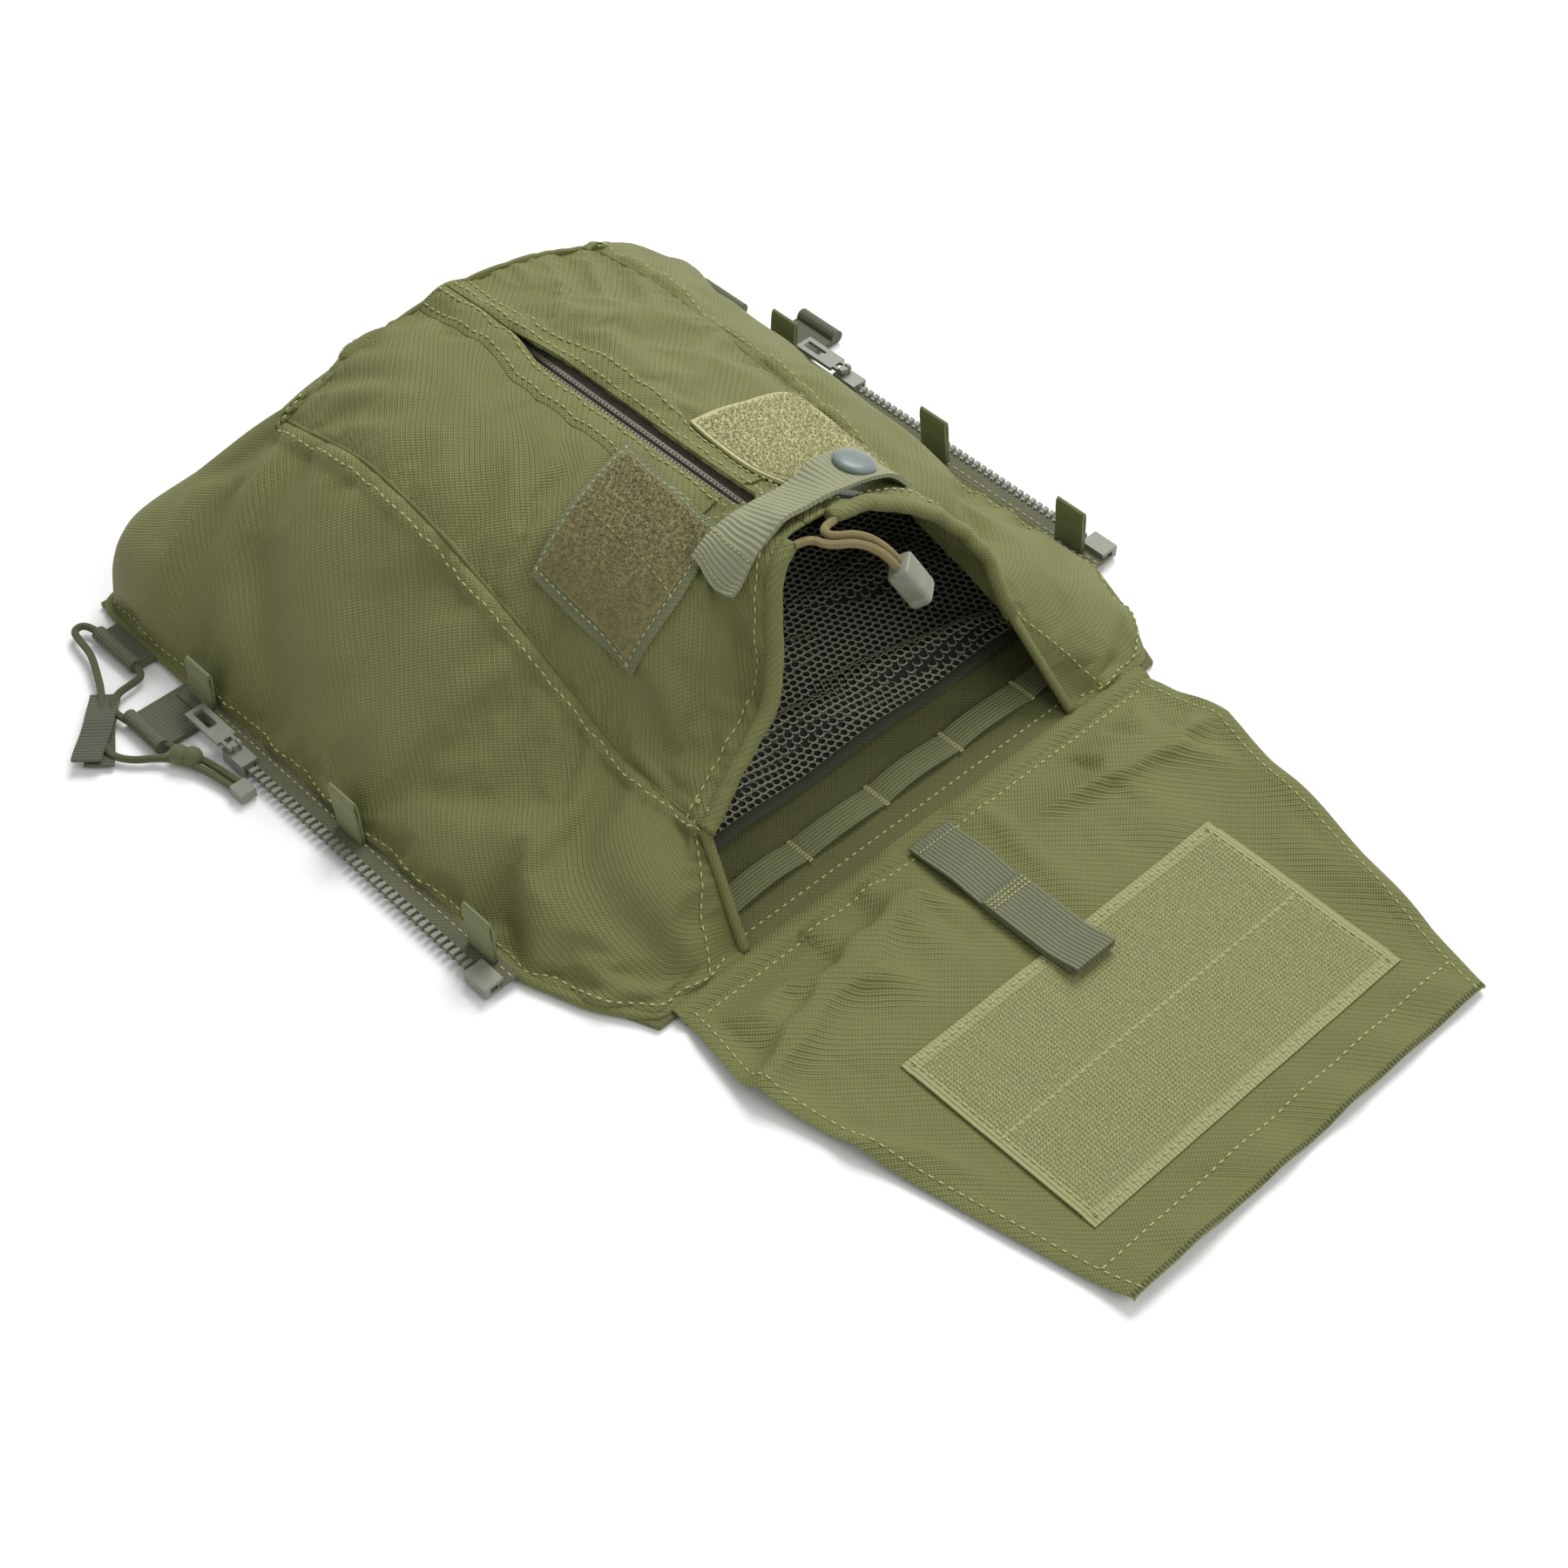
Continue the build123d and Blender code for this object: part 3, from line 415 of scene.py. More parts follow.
class Gusset:
    """The strip of cloth from the front's seams down to the back panel, all round the pouch."""

    side_rows, end_rows, columns = 88, 59, 34
    row_length = 2.5         # about how far apart the rows are

    def __init__(self):
        side = np.linspace(0, 1, self.side_rows)
        seam_y = np.interp(side, [0, 0.03, 0.06, 0.1, 0.14, 0.18, 1], SEAM_ROWS)
        floor_x = np.interp(seam_y, SEAM_ROWS, [p[0] for p in FLOOR_LEFT])
        floor_y = np.interp(seam_y, SEAM_ROWS, [p[1] for p in FLOOR_LEFT])
        end = np.linspace(0, 1, self.end_rows + 2)[1:-1]
        turn = np.concatenate([[0], np.cumsum(np.hypot(*np.diff(np.array(FLOOR_END, float), axis=0).T))])
        half = np.clip(end, 0, 0.5) * 2
        x_end = np.interp(half, turn / turn[-1], [p[0] for p in FLOOR_END])
        y_end = np.interp(half, turn / turn[-1], [p[1] for p in FLOOR_END])
        back = 1 - np.clip(end, 0.5, 1)
        late = end > 0.5
        x_end[late] = -np.interp(back[late] * 2, turn / turn[-1], [p[0] for p in FLOOR_END])
        y_end[late] = np.interp(back[late] * 2, turn / turn[-1], [p[1] for p in FLOOR_END])
        seam_x_end = -SEAM_X + 2 * SEAM_X * end
        seam_x = np.concatenate([0 * seam_y - SEAM_X, seam_x_end, 0 * seam_y + SEAM_X])
        seam_line = np.concatenate([seam_y, 0 * end + FRONT_END_Y, seam_y[::-1]])
        top = np.stack([seam_x, seam_line, crown(seam_x, seam_line)], 1)
        foot_x = np.concatenate([floor_x, x_end, -floor_x[::-1]])
        foot_y = np.concatenate([floor_y, y_end, floor_y[::-1]])
        foot = np.stack([foot_x, foot_y, 0 * foot_x + FOOT_Z], 1)
        v = np.linspace(0, 1, self.columns)[None, :, None]
        points = top[:, None] * (1 - v) + foot[:, None] * v
        across = foot - top
        along = np.gradient(foot + top, axis=0)
        out = np.cross(along, across)
        out /= np.linalg.norm(out, axis=1, keepdims=True)
        if out[self.side_rows // 2, 0] > 0:
            out = -out
        s = np.arange(len(top))[:, None] * self.row_length
        w = v[..., 0]
        belly = np.sin(np.pi * w ** 0.85) * 4.0
        billow = ripple(s / 62, w * 1.6, 4) * 5.5 + ripple(s / 24, w * 1.3 + s / 200, 6) * 2.6
        folded = smooth(ripple(s / 50, w * 2, 8), 0.0, 0.4)
        fold = 2.9 * np.sin(s / 12.0 + 6 * w + 3 * ripple(s / 40, w, 2)) * folded
        near_end = np.minimum(np.arange(len(top)), len(top) - 1 - np.arange(len(top)))[:, None]
        calm = np.sin(np.pi * w) ** 0.6 * smooth(near_end, 0, 12)
        count, last = np.arange(len(top))[:, None], len(top)
        puff = np.exp(-(((count - 91) / 8.5) ** 2)) + 0.3 * np.exp(-(((count - (last - 92)) / 9.0) ** 2))
        belly = belly + 15.0 * puff * np.sin(np.pi * w**3.2)
        near_corner = np.exp(-(((count - 86) / 11.0) ** 2))
        near_corner += 0.8 * np.exp(-(((count - (last - 88)) / 11.0) ** 2))
        pleats = 3.6 * near_corner * np.sin(count * 0.62 + 5.5 * w) * (1 - smooth(w, 0.45, 0.85))
        points = points + out[:, None] * ((belly + billow + fold + pleats) * calm)[..., None]
        points[..., 2] = np.maximum(points[..., 2], 2.4)
        points = settle(points, 0.045, 0.12, 22, 5.2)
        points[..., 2] = np.maximum(points[..., 2], 2.2)
        self.grid = finer(points)

    @property
    def out(self):
        n = normals_of(self.grid)
        return n if n[self.grid.shape[0] // 2, self.grid.shape[1] // 2, 1] > 0 else -n

    def at(self, u, v, lift=0.0):
        return sample(self.grid, u, v) + sample(self.out, u, v) * np.asarray(lift, float)[..., None]


# Ridges of the open lid: both ends of each, its height and its width.
LID_FOLDS = [(-120, -186, -8, -160, 7.6, 6.5), (-96, -152, -44, -192, 4.4, 5.5),
             (114, -178, 24, -162, 6.2, 7.0), (66, -152, 106, -200, 5.2, 5.5),
             (-30, -156, 4, -196, 3.4, 5.5), (-112, -214, -84, -262, 3.2, 6.0)]


def lid_half(y):
    """Half the lid's width at y."""
    return np.interp(-np.asarray(y, float), [144, 180, 317.4], [113.0, 118.5, 87.0])


def lid_height(x, y):
    """Height of the lid's upper face, lying open on the floor, with creases that start at its seam."""
    x, y = np.broadcast_arrays(np.asarray(x, float), np.asarray(y, float))
    patch = (1 - smooth(np.abs(x), 78, 96)) * smooth(-y, 196, 212) * (1 - smooth(-y, 290, 304))
    strap = (1 - smooth(np.abs(x), 10, 20)) * (1 - smooth(-y, 222, 232))
    creases = np.maximum(0, ripple(x / 17 + 2, y / 70, 12)) * 8.5 * (1 - smooth(-y, 150, 210))
    ridge = np.maximum(0, ripple((x + 0.5 * y) / 26, (y - 0.4 * x) / 80, 21)) * 5.2
    swell = (ripple(x / 55, y / 45, 5) + 0.6) * 1.7 + ripple(x / 14, y / 12, 7) * 0.25
    for x0, y0, x1, y1, height, width in LID_FOLDS:
        run = math.hypot(x1 - x0, y1 - y0)
        s = ((x - x0) * (x1 - x0) + (y - y0) * (y1 - y0)) / run**2
        off = ((x - x0) * (y1 - y0) - (y - y0) * (x1 - x0)) / run + 3.0 * np.sin(3.0 * s)
        creases = creases + height * smooth(s, -0.08, 0.15) * (1 - smooth(s, 0.6, 1.05)) * np.exp(
            -np.abs(off / np.where(off > 0, width, 0.55 * width)) ** 1.6)
    rim = smooth(np.abs(x), lid_half(y) - 26, lid_half(y)) + smooth(-y, 298, 317)
    lifted = rim * np.maximum(0, ripple(x / 48 + 9, y / 48, 17) + 0.25) * 3.4
    calm = np.clip(1 - 0.85 * patch - 0.8 * strap, 0, 1)
    h = 1.35 + np.maximum(0, (creases + ridge + swell) * calm + lifted)
    start = np.where(np.abs(x) > 62, 149, 141)
    return np.minimum(h, 2.0 + 7.2 * smooth(-y, start, start + 18))


# ---------------------------------------------------------------- materials
class Paint:
    """Builds one material from nodes that read the piece's own UV map or its Object coordinates."""

    def __init__(self, name, colour, rough=0.7, sheen=0.0, metal=0.0, coat=0.0):
        self.material = bpy.data.materials.new(name)
        self.material.use_nodes = True
        self.tree = self.material.node_tree
        self.shader = self.tree.nodes["Principled BSDF"]
        self.set("Base Color", (*colour, 1))
        self.set("Roughness", rough)
        self.set("Metallic", metal)
        if sheen:
            self.set("Sheen Weight", sheen)
            self.set("Sheen Tint", (0.85, 0.85, 0.5, 1))
            self.set("Sheen Roughness", 0.45)
        if coat:
            self.set("Coat Weight", coat)
            self.set("Coat Roughness", 0.3)
        self.colour = colour

    def set(self, socket, value):
        self.shader.inputs[socket].default_value = value

    def node(self, kind, inputs=(), **options):
        made = self.tree.nodes.new(kind)
        for key, value in options.items():
            setattr(made, key, value)
        for key, value in dict(inputs).items():
            if isinstance(value, bpy.types.NodeSocket):
                self.tree.links.new(value, made.inputs[key])
            else:
                made.inputs[key].default_value = value
        return made

    def maths(self, operation, a, b=0.0):
        return self.node("ShaderNodeMath", {0: a, 1: b}, operation=operation).outputs[0]

    def place(self, kind="UV"):
        return self.node("ShaderNodeTexCoord").outputs[kind]

    def noise(self, where, scale, detail=3.0, rough=0.55):
        made = self.node("ShaderNodeTexNoise", {"Vector": where, "Scale": scale, "Detail": detail,
                                                "Roughness": rough})
        return made.outputs[0]

    def ribs(self, where, pitch, axis):
        """Rounded ribs across one direction, from 0 to 1."""
        parts = self.node("ShaderNodeSeparateXYZ", {0: where})
        turned = self.maths("MULTIPLY", parts.outputs[axis], 2 * math.pi / pitch)
        return self.maths("MULTIPLY_ADD", self.maths("SINE", turned), 0.5)

    def shade(self, share, dark, light):
        """Colour between dark and light times the piece's own colour."""
        ramp = self.node("ShaderNodeMapRange", {0: share, 3: dark, 4: light})
        mix = self.node("ShaderNodeVectorMath", {0: (*self.colour,), 3: ramp.outputs[0]}, operation="SCALE")
        self.tree.links.new(mix.outputs[0], self.shader.inputs["Base Color"])

    def bump(self, height, depth, strength=1.0):
        made = self.node("ShaderNodeBump", {"Height": height, "Distance": depth, "Strength": strength})
        self.tree.links.new(made.outputs[0], self.shader.inputs["Normal"])


def woven(name, colour, pitch, kind="UV", rough=0.7, sheen=0.08, slant=0.5, depth=0.0004):
    """Plain cloth: two sets of yarns, a faint twill slant, and soft wear."""
    paint = Paint(name, colour, rough, sheen)
    where = paint.place(kind)
    parts = paint.node("ShaderNodeSeparateXYZ", {0: where})
    u = paint.maths("SINE", paint.maths("MULTIPLY", parts.outputs[0], 2 * math.pi / pitch))
    v = paint.maths("SINE", paint.maths("MULTIPLY", parts.outputs[1], 2 * math.pi / pitch))
    yarns = paint.maths("MULTIPLY", u, v)
    diagonal = paint.maths("ADD", parts.outputs[0], parts.outputs[1])
    twill = paint.maths("SINE", paint.maths("MULTIPLY", diagonal, 2 * math.pi / (pitch * 2.1)))
    weave = paint.maths("ADD", yarns, paint.maths("MULTIPLY", twill, slant))
    grain = paint.noise(where, 900.0, 2.0)
    worn = paint.noise(where, 28.0, 4.0)
    share = paint.maths("ADD", paint.maths("MULTIPLY", weave, 0.24), paint.maths("MULTIPLY", grain, 0.45))
    share = paint.maths("ADD", share, paint.maths("MULTIPLY", worn, 0.4))
    paint.shade(share, 0.72, 1.3)
    paint.bump(weave, depth, 0.55)
    return paint.material


def webbing(name, colour, pitch, axis=1, kind="UV", rough=0.7, contrast=0.25, depth=0.0005):
    """Ribbed webbing with its ribs across one direction of the piece."""
    paint = Paint(name, colour, rough, 0.2)
    where = paint.place(kind)
    rib = paint.ribs(where, pitch, axis)
    cross = paint.ribs(where, pitch * 0.55, 1 - axis)
    grain = paint.noise(where, 1100.0, 2.0)
    share = paint.maths("ADD", paint.maths("MULTIPLY", rib, 0.45), paint.maths("MULTIPLY", cross, 0.2))
    share = paint.maths("ADD", share, paint.maths("MULTIPLY", grain, 0.4))
    paint.shade(share, 1 - contrast, 1 + contrast)
    paint.bump(paint.maths("ADD", rib, paint.maths("MULTIPLY", cross, 0.3)), depth, 0.7)
    return paint.material


def piled(name, colour, dark, light, scale, depth):
    """Hook or loop tape: a dense nap with specks of light and shade."""
    paint = Paint(name, colour, 0.85, 0.35)
    where = paint.place("Object")
    nap = paint.noise(where, scale, 3.0, 0.75)
    patchy = paint.noise(where, scale * 0.12, 2.0)
    share = paint.maths("ADD", paint.maths("MULTIPLY", nap, 0.8), paint.maths("MULTIPLY", patchy, 0.25))
    paint.shade(share, dark, light)
    paint.bump(nap, depth, 0.9)
    return paint.material


def moulded(name, colour, rough=0.42, metal=0.0, coat=0.15, mottle=0.08):
    """Moulded plastic or painted metal with a faint mottle."""
    paint = Paint(name, colour, rough, 0.0, metal, coat)
    share = paint.noise(paint.place("Object"), 420.0, 3.0)
    paint.shade(share, 1 - mottle, 1 + mottle)
    paint.bump(share, 0.00008, 0.4)
    return paint.material


def braided(name, colour, pitch, contrast=0.35):
    """Braid round a cord: strands that cross on both slants, along the cord's own length."""
    paint = Paint(name, colour, 0.75, 0.2)
    parts = paint.node("ShaderNodeSeparateXYZ", {0: paint.place("UV")})
    turns = paint.maths("MULTIPLY", parts.outputs[1], 4 * 2 * math.pi)
    run = paint.maths("MULTIPLY", parts.outputs[0], 2 * math.pi / pitch)
    one = paint.maths("SINE", paint.maths("ADD", run, turns))
    two = paint.maths("SINE", paint.maths("SUBTRACT", run, turns))
    braid = paint.maths("MULTIPLY", one, two)
    grain = paint.noise(paint.place("Object"), 1400.0, 2.0)
    share = paint.maths("ADD", paint.maths("MULTIPLY_ADD", braid, 0.4), paint.maths("MULTIPLY", grain, 0.5))
    paint.shade(share, 1 - contrast, 1 + contrast)
    paint.bump(braid, 0.0003, 0.7)
    return paint.material


# ---------------------------------------------------------------- what repeats
def new_tree(name, inputs):
    """A Geometry Nodes tree with named inputs; gives the tree, its nodes' helper and its input node."""
    tree = bpy.data.node_groups.new(name, "GeometryNodeTree")
    tree.interface.new_socket(name="Geometry", in_out="INPUT", socket_type="NodeSocketGeometry")
    for label, kind, default in inputs:
        socket = tree.interface.new_socket(name=label, in_out="INPUT", socket_type=kind)
        if default is not None:
            socket.default_value = default
    tree.interface.new_socket(name="Geometry", in_out="OUTPUT", socket_type="NodeSocketGeometry")

    def add(kind, links=(), **options):
        made = tree.nodes.new(kind)
        for key, value in options.items():
            setattr(made, key, value)
        for key, value in dict(links).items():
            if isinstance(value, bpy.types.NodeSocket):
                tree.links.new(value, made.inputs[key])
            else:
                made.inputs[key].default_value = value
        return made

    return tree, add, tree.nodes.new("NodeGroupInput").outputs


def close_tree(add, geometry, material):
    """Ends a tree in real, smooth geometry with its material."""
    real = add("GeometryNodeRealizeInstances", {0: geometry}).outputs[0]
    soft = add("GeometryNodeSetShadeSmooth", {0: real}).outputs[0]
    dyed = add("GeometryNodeSetMaterial", {0: soft, "Material": material}).outputs[0]
    add("NodeGroupOutput", {0: dyed})


def stitch_tree():
    """Stitches at an even pitch along sewn lines."""
    tree, add, given = new_tree("Stitches", [
        ("Pitch", "NodeSocketFloat", 0.0034), ("Length", "NodeSocketFloat", 0.0024),
        ("Thickness", "NodeSocketFloat", 0.0006), ("Material", "NodeSocketMaterial", None)])
    line = add("GeometryNodeMeshToCurve", {0: given["Geometry"]}).outputs[0]
    spots = add("GeometryNodeCurveToPoints", {0: line, "Length": given["Pitch"]}, mode="LENGTH")
    grain = add("GeometryNodeMeshIcoSphere", {"Radius": 0.5, "Subdivisions": 1}).outputs[0]
    thick = given["Thickness"]
    size = add("ShaderNodeCombineXYZ", {0: thick, 1: thick, 2: given["Length"]}).outputs[0]
    placed = add("GeometryNodeInstanceOnPoints", {
        "Points": spots.outputs[0], "Instance": grain, "Rotation": spots.outputs["Rotation"],
        "Scale": size}).outputs[0]
    close_tree(add, placed, given["Material"])
    return tree


def row_tree(name, parts):
    """The same small part again and again along sewn lines; parts are boxes (size, place) in metres."""
    tree, add, given = new_tree(name, [
        ("Pitch", "NodeSocketFloat", 0.0033), ("Material", "NodeSocketMaterial", None)])
    line = add("GeometryNodeMeshToCurve", {0: given["Geometry"]}).outputs[0]
    spots = add("GeometryNodeCurveToPoints", {0: line, "Length": given["Pitch"]}, mode="LENGTH")
    whole = add("GeometryNodeJoinGeometry")
    for size, at in parts:
        cube = add("GeometryNodeMeshCube", {"Size": size}).outputs[0]
        moved = add("GeometryNodeTransform", {0: cube, "Translation": at}).outputs[0]
        tree.links.new(moved, whole.inputs[0])
    placed = add("GeometryNodeInstanceOnPoints", {
        "Points": spots.outputs[0], "Instance": whole.outputs[0]}).outputs[0]
    real = add("GeometryNodeRealizeInstances", {0: placed}).outputs[0]
    dyed = add("GeometryNodeSetMaterial", {0: real, "Material": given["Material"]}).outputs[0]
    add("NodeGroupOutput", {0: dyed})
    return tree


def scatter_tree():
    """Small bristles on every point of a grid, with a little seeded unevenness."""
    tree, add, given = new_tree("Bristles", [
        ("Height", "NodeSocketFloat", 0.0012), ("Thickness", "NodeSocketFloat", 0.0005),
        ("Lean", "NodeSocketFloat", 0.5), ("Seed", "NodeSocketInt", 3),
        ("Material", "NodeSocketMaterial", None)])
    spots = add("GeometryNodeMeshToPoints", {0: given["Geometry"]}).outputs[0]
    cone = add("GeometryNodeMeshCone", {
        "Vertices": 4, "Radius Top": 0.2, "Radius Bottom": 0.5, "Depth": 1.0}).outputs[0]
    lean = add("ShaderNodeMath", {0: given["Lean"], 1: -1.0}, operation="MULTIPLY").outputs[0]
    low = add("ShaderNodeCombineXYZ", {0: lean, 1: lean, 2: -3.1}).outputs[0]
    high = add("ShaderNodeCombineXYZ", {0: given["Lean"], 1: given["Lean"], 2: 3.1}).outputs[0]
    turn = add("FunctionNodeRandomValue", {0: low, 1: high, "Seed": given["Seed"]}, data_type="FLOAT_VECTOR")
    thick = given["Thickness"]
    size = add("ShaderNodeCombineXYZ", {0: thick, 1: thick, 2: given["Height"]}).outputs[0]
    placed = add("GeometryNodeInstanceOnPoints", {
        "Points": spots, "Instance": cone, "Rotation": turn.outputs[0], "Scale": size}).outputs[0]
    close_tree(add, placed, given["Material"])
    return tree


def net_tree():
    """A knitted net of six-sided holes on a staggered grid."""
    tree, add, given = new_tree("Hexagon net", [
        ("Hole", "NodeSocketFloat", 0.0022), ("Yarn", "NodeSocketFloat", 0.0005),
        ("Material", "NodeSocketMaterial", None)])
    spots = add("GeometryNodeMeshToPoints", {0: given["Geometry"]}).outputs[0]
    half = add("ShaderNodeMath", {0: given["Hole"], 1: 0.5}, operation="MULTIPLY").outputs[0]
    outline = add("GeometryNodeMeshCircle", {"Vertices": 6, "Radius": half}).outputs[0]
    curve = add("GeometryNodeMeshToCurve", {0: outline}).outputs[0]
    thick = add("ShaderNodeMath", {0: given["Yarn"], 1: 0.5}, operation="MULTIPLY").outputs[0]
    profile = add("GeometryNodeCurvePrimitiveCircle", {
        "Resolution": 3, "Radius": thick}, mode="RADIUS").outputs[0]
    ring = add("GeometryNodeCurveToMesh", {0: curve, "Profile Curve": profile}).outputs[0]
    placed = add("GeometryNodeInstanceOnPoints", {"Points": spots, "Instance": ring}).outputs[0]
    close_tree(add, placed, given["Material"])
    return tree


TREES = {}


def grown(name, lines, tree, values):
    """Runs a tree on lines of points in mm and gives the result as a plain mesh piece."""
    verts, edges = [], []
    for line in lines:
        first = len(verts)
        verts += (np.asarray(line) * MM).tolist()
        edges += [(first + i, first + i + 1) for i in range(len(line) - 1)]
    mesh = bpy.data.meshes.new(name)
    mesh.from_pydata(verts, edges, [])
    piece = link(name, mesh)
    modifier = piece.modifiers.new("Repeat", "NODES")
    modifier.node_group = tree
    for item in tree.interface.items_tree:
        if item.item_type == "SOCKET" and item.in_out == "INPUT" and item.name in values:
            modifier[item.identifier] = values[item.name]
    graph = bpy.context.evaluated_depsgraph_get()
    graph.update()
    made = bpy.data.meshes.new_from_object(piece.evaluated_get(graph), depsgraph=graph)
    piece.modifiers.clear()
    piece.data = made
    made.name = name
    return piece


def stitches(name, lines, body="pack", pitch=3.6, length=2.6, thickness=0.72, material="thread"):
    """One mesh of stitches along lines of points in mm."""
    piece = grown(name, lines, TREES["stitch"], {
        "Pitch": pitch * MM, "Length": length * MM, "Thickness": thickness * MM, "Material": M[material]})
    if body:
        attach(piece, body)
    return piece


M = {}


def make_materials(scene):
    """Every finish, with the panel's own colours in it."""
    look = scene.pack_look
    olive = tuple(look.cloth_colour)
    M["cloth"] = woven("body_cloth", olive, 0.0014)
    # The back panel's cloth is the body cloth at three quarters of its colour: painted shade for the inside
    # of the pouch.
    M["lining"] = woven("back_cloth_painted_shade", tuple(c * 0.75 for c in olive), 0.0011, kind="Object")
    M["thread"] = Paint("thread", tuple(look.thread_colour), 0.6, 0.2).material
    M["dark_thread"] = Paint("dark_thread", (0.03, 0.028, 0.022), 0.7).material
    M["grey_webbing"] = webbing("grey_webbing", tuple(look.webbing_colour), 0.0021, axis=1)
    M["grey_webbing_coarse"] = webbing("grey_webbing_coarse", (0.15, 0.157, 0.09), 0.0016, axis=1,
                                       depth=0.0007)
    M["olive_webbing"] = webbing("olive_webbing", (0.17, 0.182, 0.08), 0.0013, axis=2, kind="Object")
    M["dark_webbing"] = webbing("dark_webbing", (0.085, 0.092, 0.055), 0.0018, axis=1, kind="Object",
                                contrast=0.35)
    M["tab_webbing"] = webbing("tab_webbing", (0.07, 0.075, 0.05), 0.0015, axis=1, contrast=0.4)
    M["hook_tape"] = webbing("hook_tape", (0.3, 0.305, 0.128), 0.0016, axis=1, rough=0.6, contrast=0.14)
    # The hooks are a lighter copy of the hook tape's colour: painted light on the hook tips, making up for
    # the shade among the bristles.
    M["hook_tips_painted_light"] = Paint("hook_tips_painted_light", (0.42, 0.43, 0.19), 0.6).material
    M["pile_brown"] = piled("pile_brown", (0.2, 0.182, 0.075), 0.35, 1.75, 900.0, 0.0009)
    # The right patch's pile is a lighter copy of the left patch's: painted light where that patch faces the
    # light.
    M["pile_light"] = piled("pile_light", (0.5, 0.485, 0.25), 0.65, 1.3, 900.0, 0.0009)
    M["tape_border"] = woven("tape_border", (0.17, 0.18, 0.085), 0.0012)
    # The front zip's tape is brightened to make up for the shade between the flies: painted light.
    M["zip_tape"] = woven("zip_tape", (0.21, 0.19, 0.14), 0.0009, kind="Object", slant=0.7)
    M["side_tape"] = woven("side_tape", (0.12, 0.122, 0.068), 0.001, kind="Object", slant=0.6)
    M["zip_coil"] = moulded("zip_coil", (0.22, 0.2, 0.155), 0.55)
    M["zip_plastic"] = moulded("zip_plastic", (0.2, 0.212, 0.158), 0.5, coat=0.05)
    M["zip_metal"] = moulded("zip_metal", (0.19, 0.2, 0.155), 0.38, 0.0, 0.3)
    M["snap_paint"] = moulded("snap_paint", (0.17, 0.205, 0.19), 0.42, 0.0, 0.12)
    M["narrow_webbing"] = webbing("narrow_webbing", (0.16, 0.172, 0.07), 0.0014, axis=0, contrast=0.3)
    # Near-black sheet under the net pocket: painted shade inside the pouch.
    M["net_shade_sheet"] = Paint("net_shade_sheet", (0.016, 0.017, 0.012), 0.85).material
    M["mesh_yarn"] = Paint("mesh_yarn", (0.37, 0.375, 0.28), 0.5, 0.3).material
    M["net_edge"] = woven("net_edge", (0.06, 0.064, 0.036), 0.0012)
    M["edge_thread"] = Paint("edge_thread", (0.1, 0.106, 0.04), 0.7).material
    M["tan_cord"] = braided("tan_cord", (0.3, 0.235, 0.1), 0.0022)
    M["olive_cord"] = braided("olive_cord", (0.08, 0.086, 0.035), 0.0022)
    M["lint"] = Paint("lint", (0.3, 0.28, 0.15), 0.85, 0.5).material


SHAPE = {}


def front(side):
    """The settled half of the front on one side."""
    return SHAPE["right" if side > 0 else "left"]


def on_front(x, y):
    """Points of both front halves together."""
    return np.where((x > 0)[..., None], front(1).at(x, y), front(-1).at(x, y))


def mesh_grid(x0, x1, y0, y1, step):
    """Rows of x and y over a rectangle, about a step apart."""
    nx, ny = max(2, round(abs(x1 - x0) / step) + 1), max(2, round(abs(y1 - y0) / step) + 1)
    return np.meshgrid(np.linspace(x0, x1, nx), np.linspace(y0, y1, ny), indexing="ij")


def sewn_edge(grid, out, edges, width, rise, roll):
    """Raises a grid's sewn borders where the cloth is turned under, and rounds them down at the seam."""
    n, m = grid.shape[:2]
    u_len = np.linalg.norm(np.diff(grid, axis=0), axis=2).mean() * (n - 1)
    v_len = np.linalg.norm(np.diff(grid, axis=1), axis=2).mean() * (m - 1)
    u, v = np.meshgrid(np.linspace(0, u_len, n), np.linspace(0, v_len, m), indexing="ij")
    distance = {"u0": u, "u1": u_len - u, "v0": v, "v1": v_len - v}
    lift = np.zeros((n, m))
    for key in edges:
        d = distance[key]
        lift = np.maximum(lift, rise * (1 - smooth(d, width - 1.2, width + 1.6)))
    for key in edges:
        lift -= roll * (1 - smooth(distance[key], 0, 2.2))
    return grid + out * lift[..., None]


# ---------------------------------------------------------------- pieces
def make_front():
    """Both halves of the front, their flies and the stitches along them."""
    for side, word in ((1, "right"), (-1, "left")):
        half = Front(side)
        SHAPE[word] = half
        grid = sewn_edge(half.grid, half.out, ("u0",), 9, 0.6, 0.0)
        piece = slab(f"front_cloth_{word}", grid, CLOTH)
        finish_piece(piece, "pack", "body_cloth", f"front_panel_{word}", material=M["cloth"])
        if side > 0:
            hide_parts("zip_end_bridge")
        y = np.linspace(-62, 103, 70)
        x = slot_half(y)
        lines = [half.at(side * (x + d), y, 1.35) for d in (2.6, 9.8)]
        stitches(f"fly_stitches_{word}", lines)
        rows = np.linspace(-49, 104, 64)
        width = np.linspace(0, 12.6, 9)
        xs, ys = np.meshgrid(width, rows)
        xs = side * (slot_half(ys) + xs - 0.25)
        rim = np.sin(np.pi * np.clip(np.abs(np.meshgrid(width, rows)[0]) / 12.6, 0, 1)) ** 0.4
        fly = half.at(xs, ys, 0.25 + 0.85 * rim)
        piece = slab(f"fly_{word}", fly, 0.9)
        finish_piece(piece, "pack", "body_cloth", f"zip_placket_{word}", material=M["cloth"])


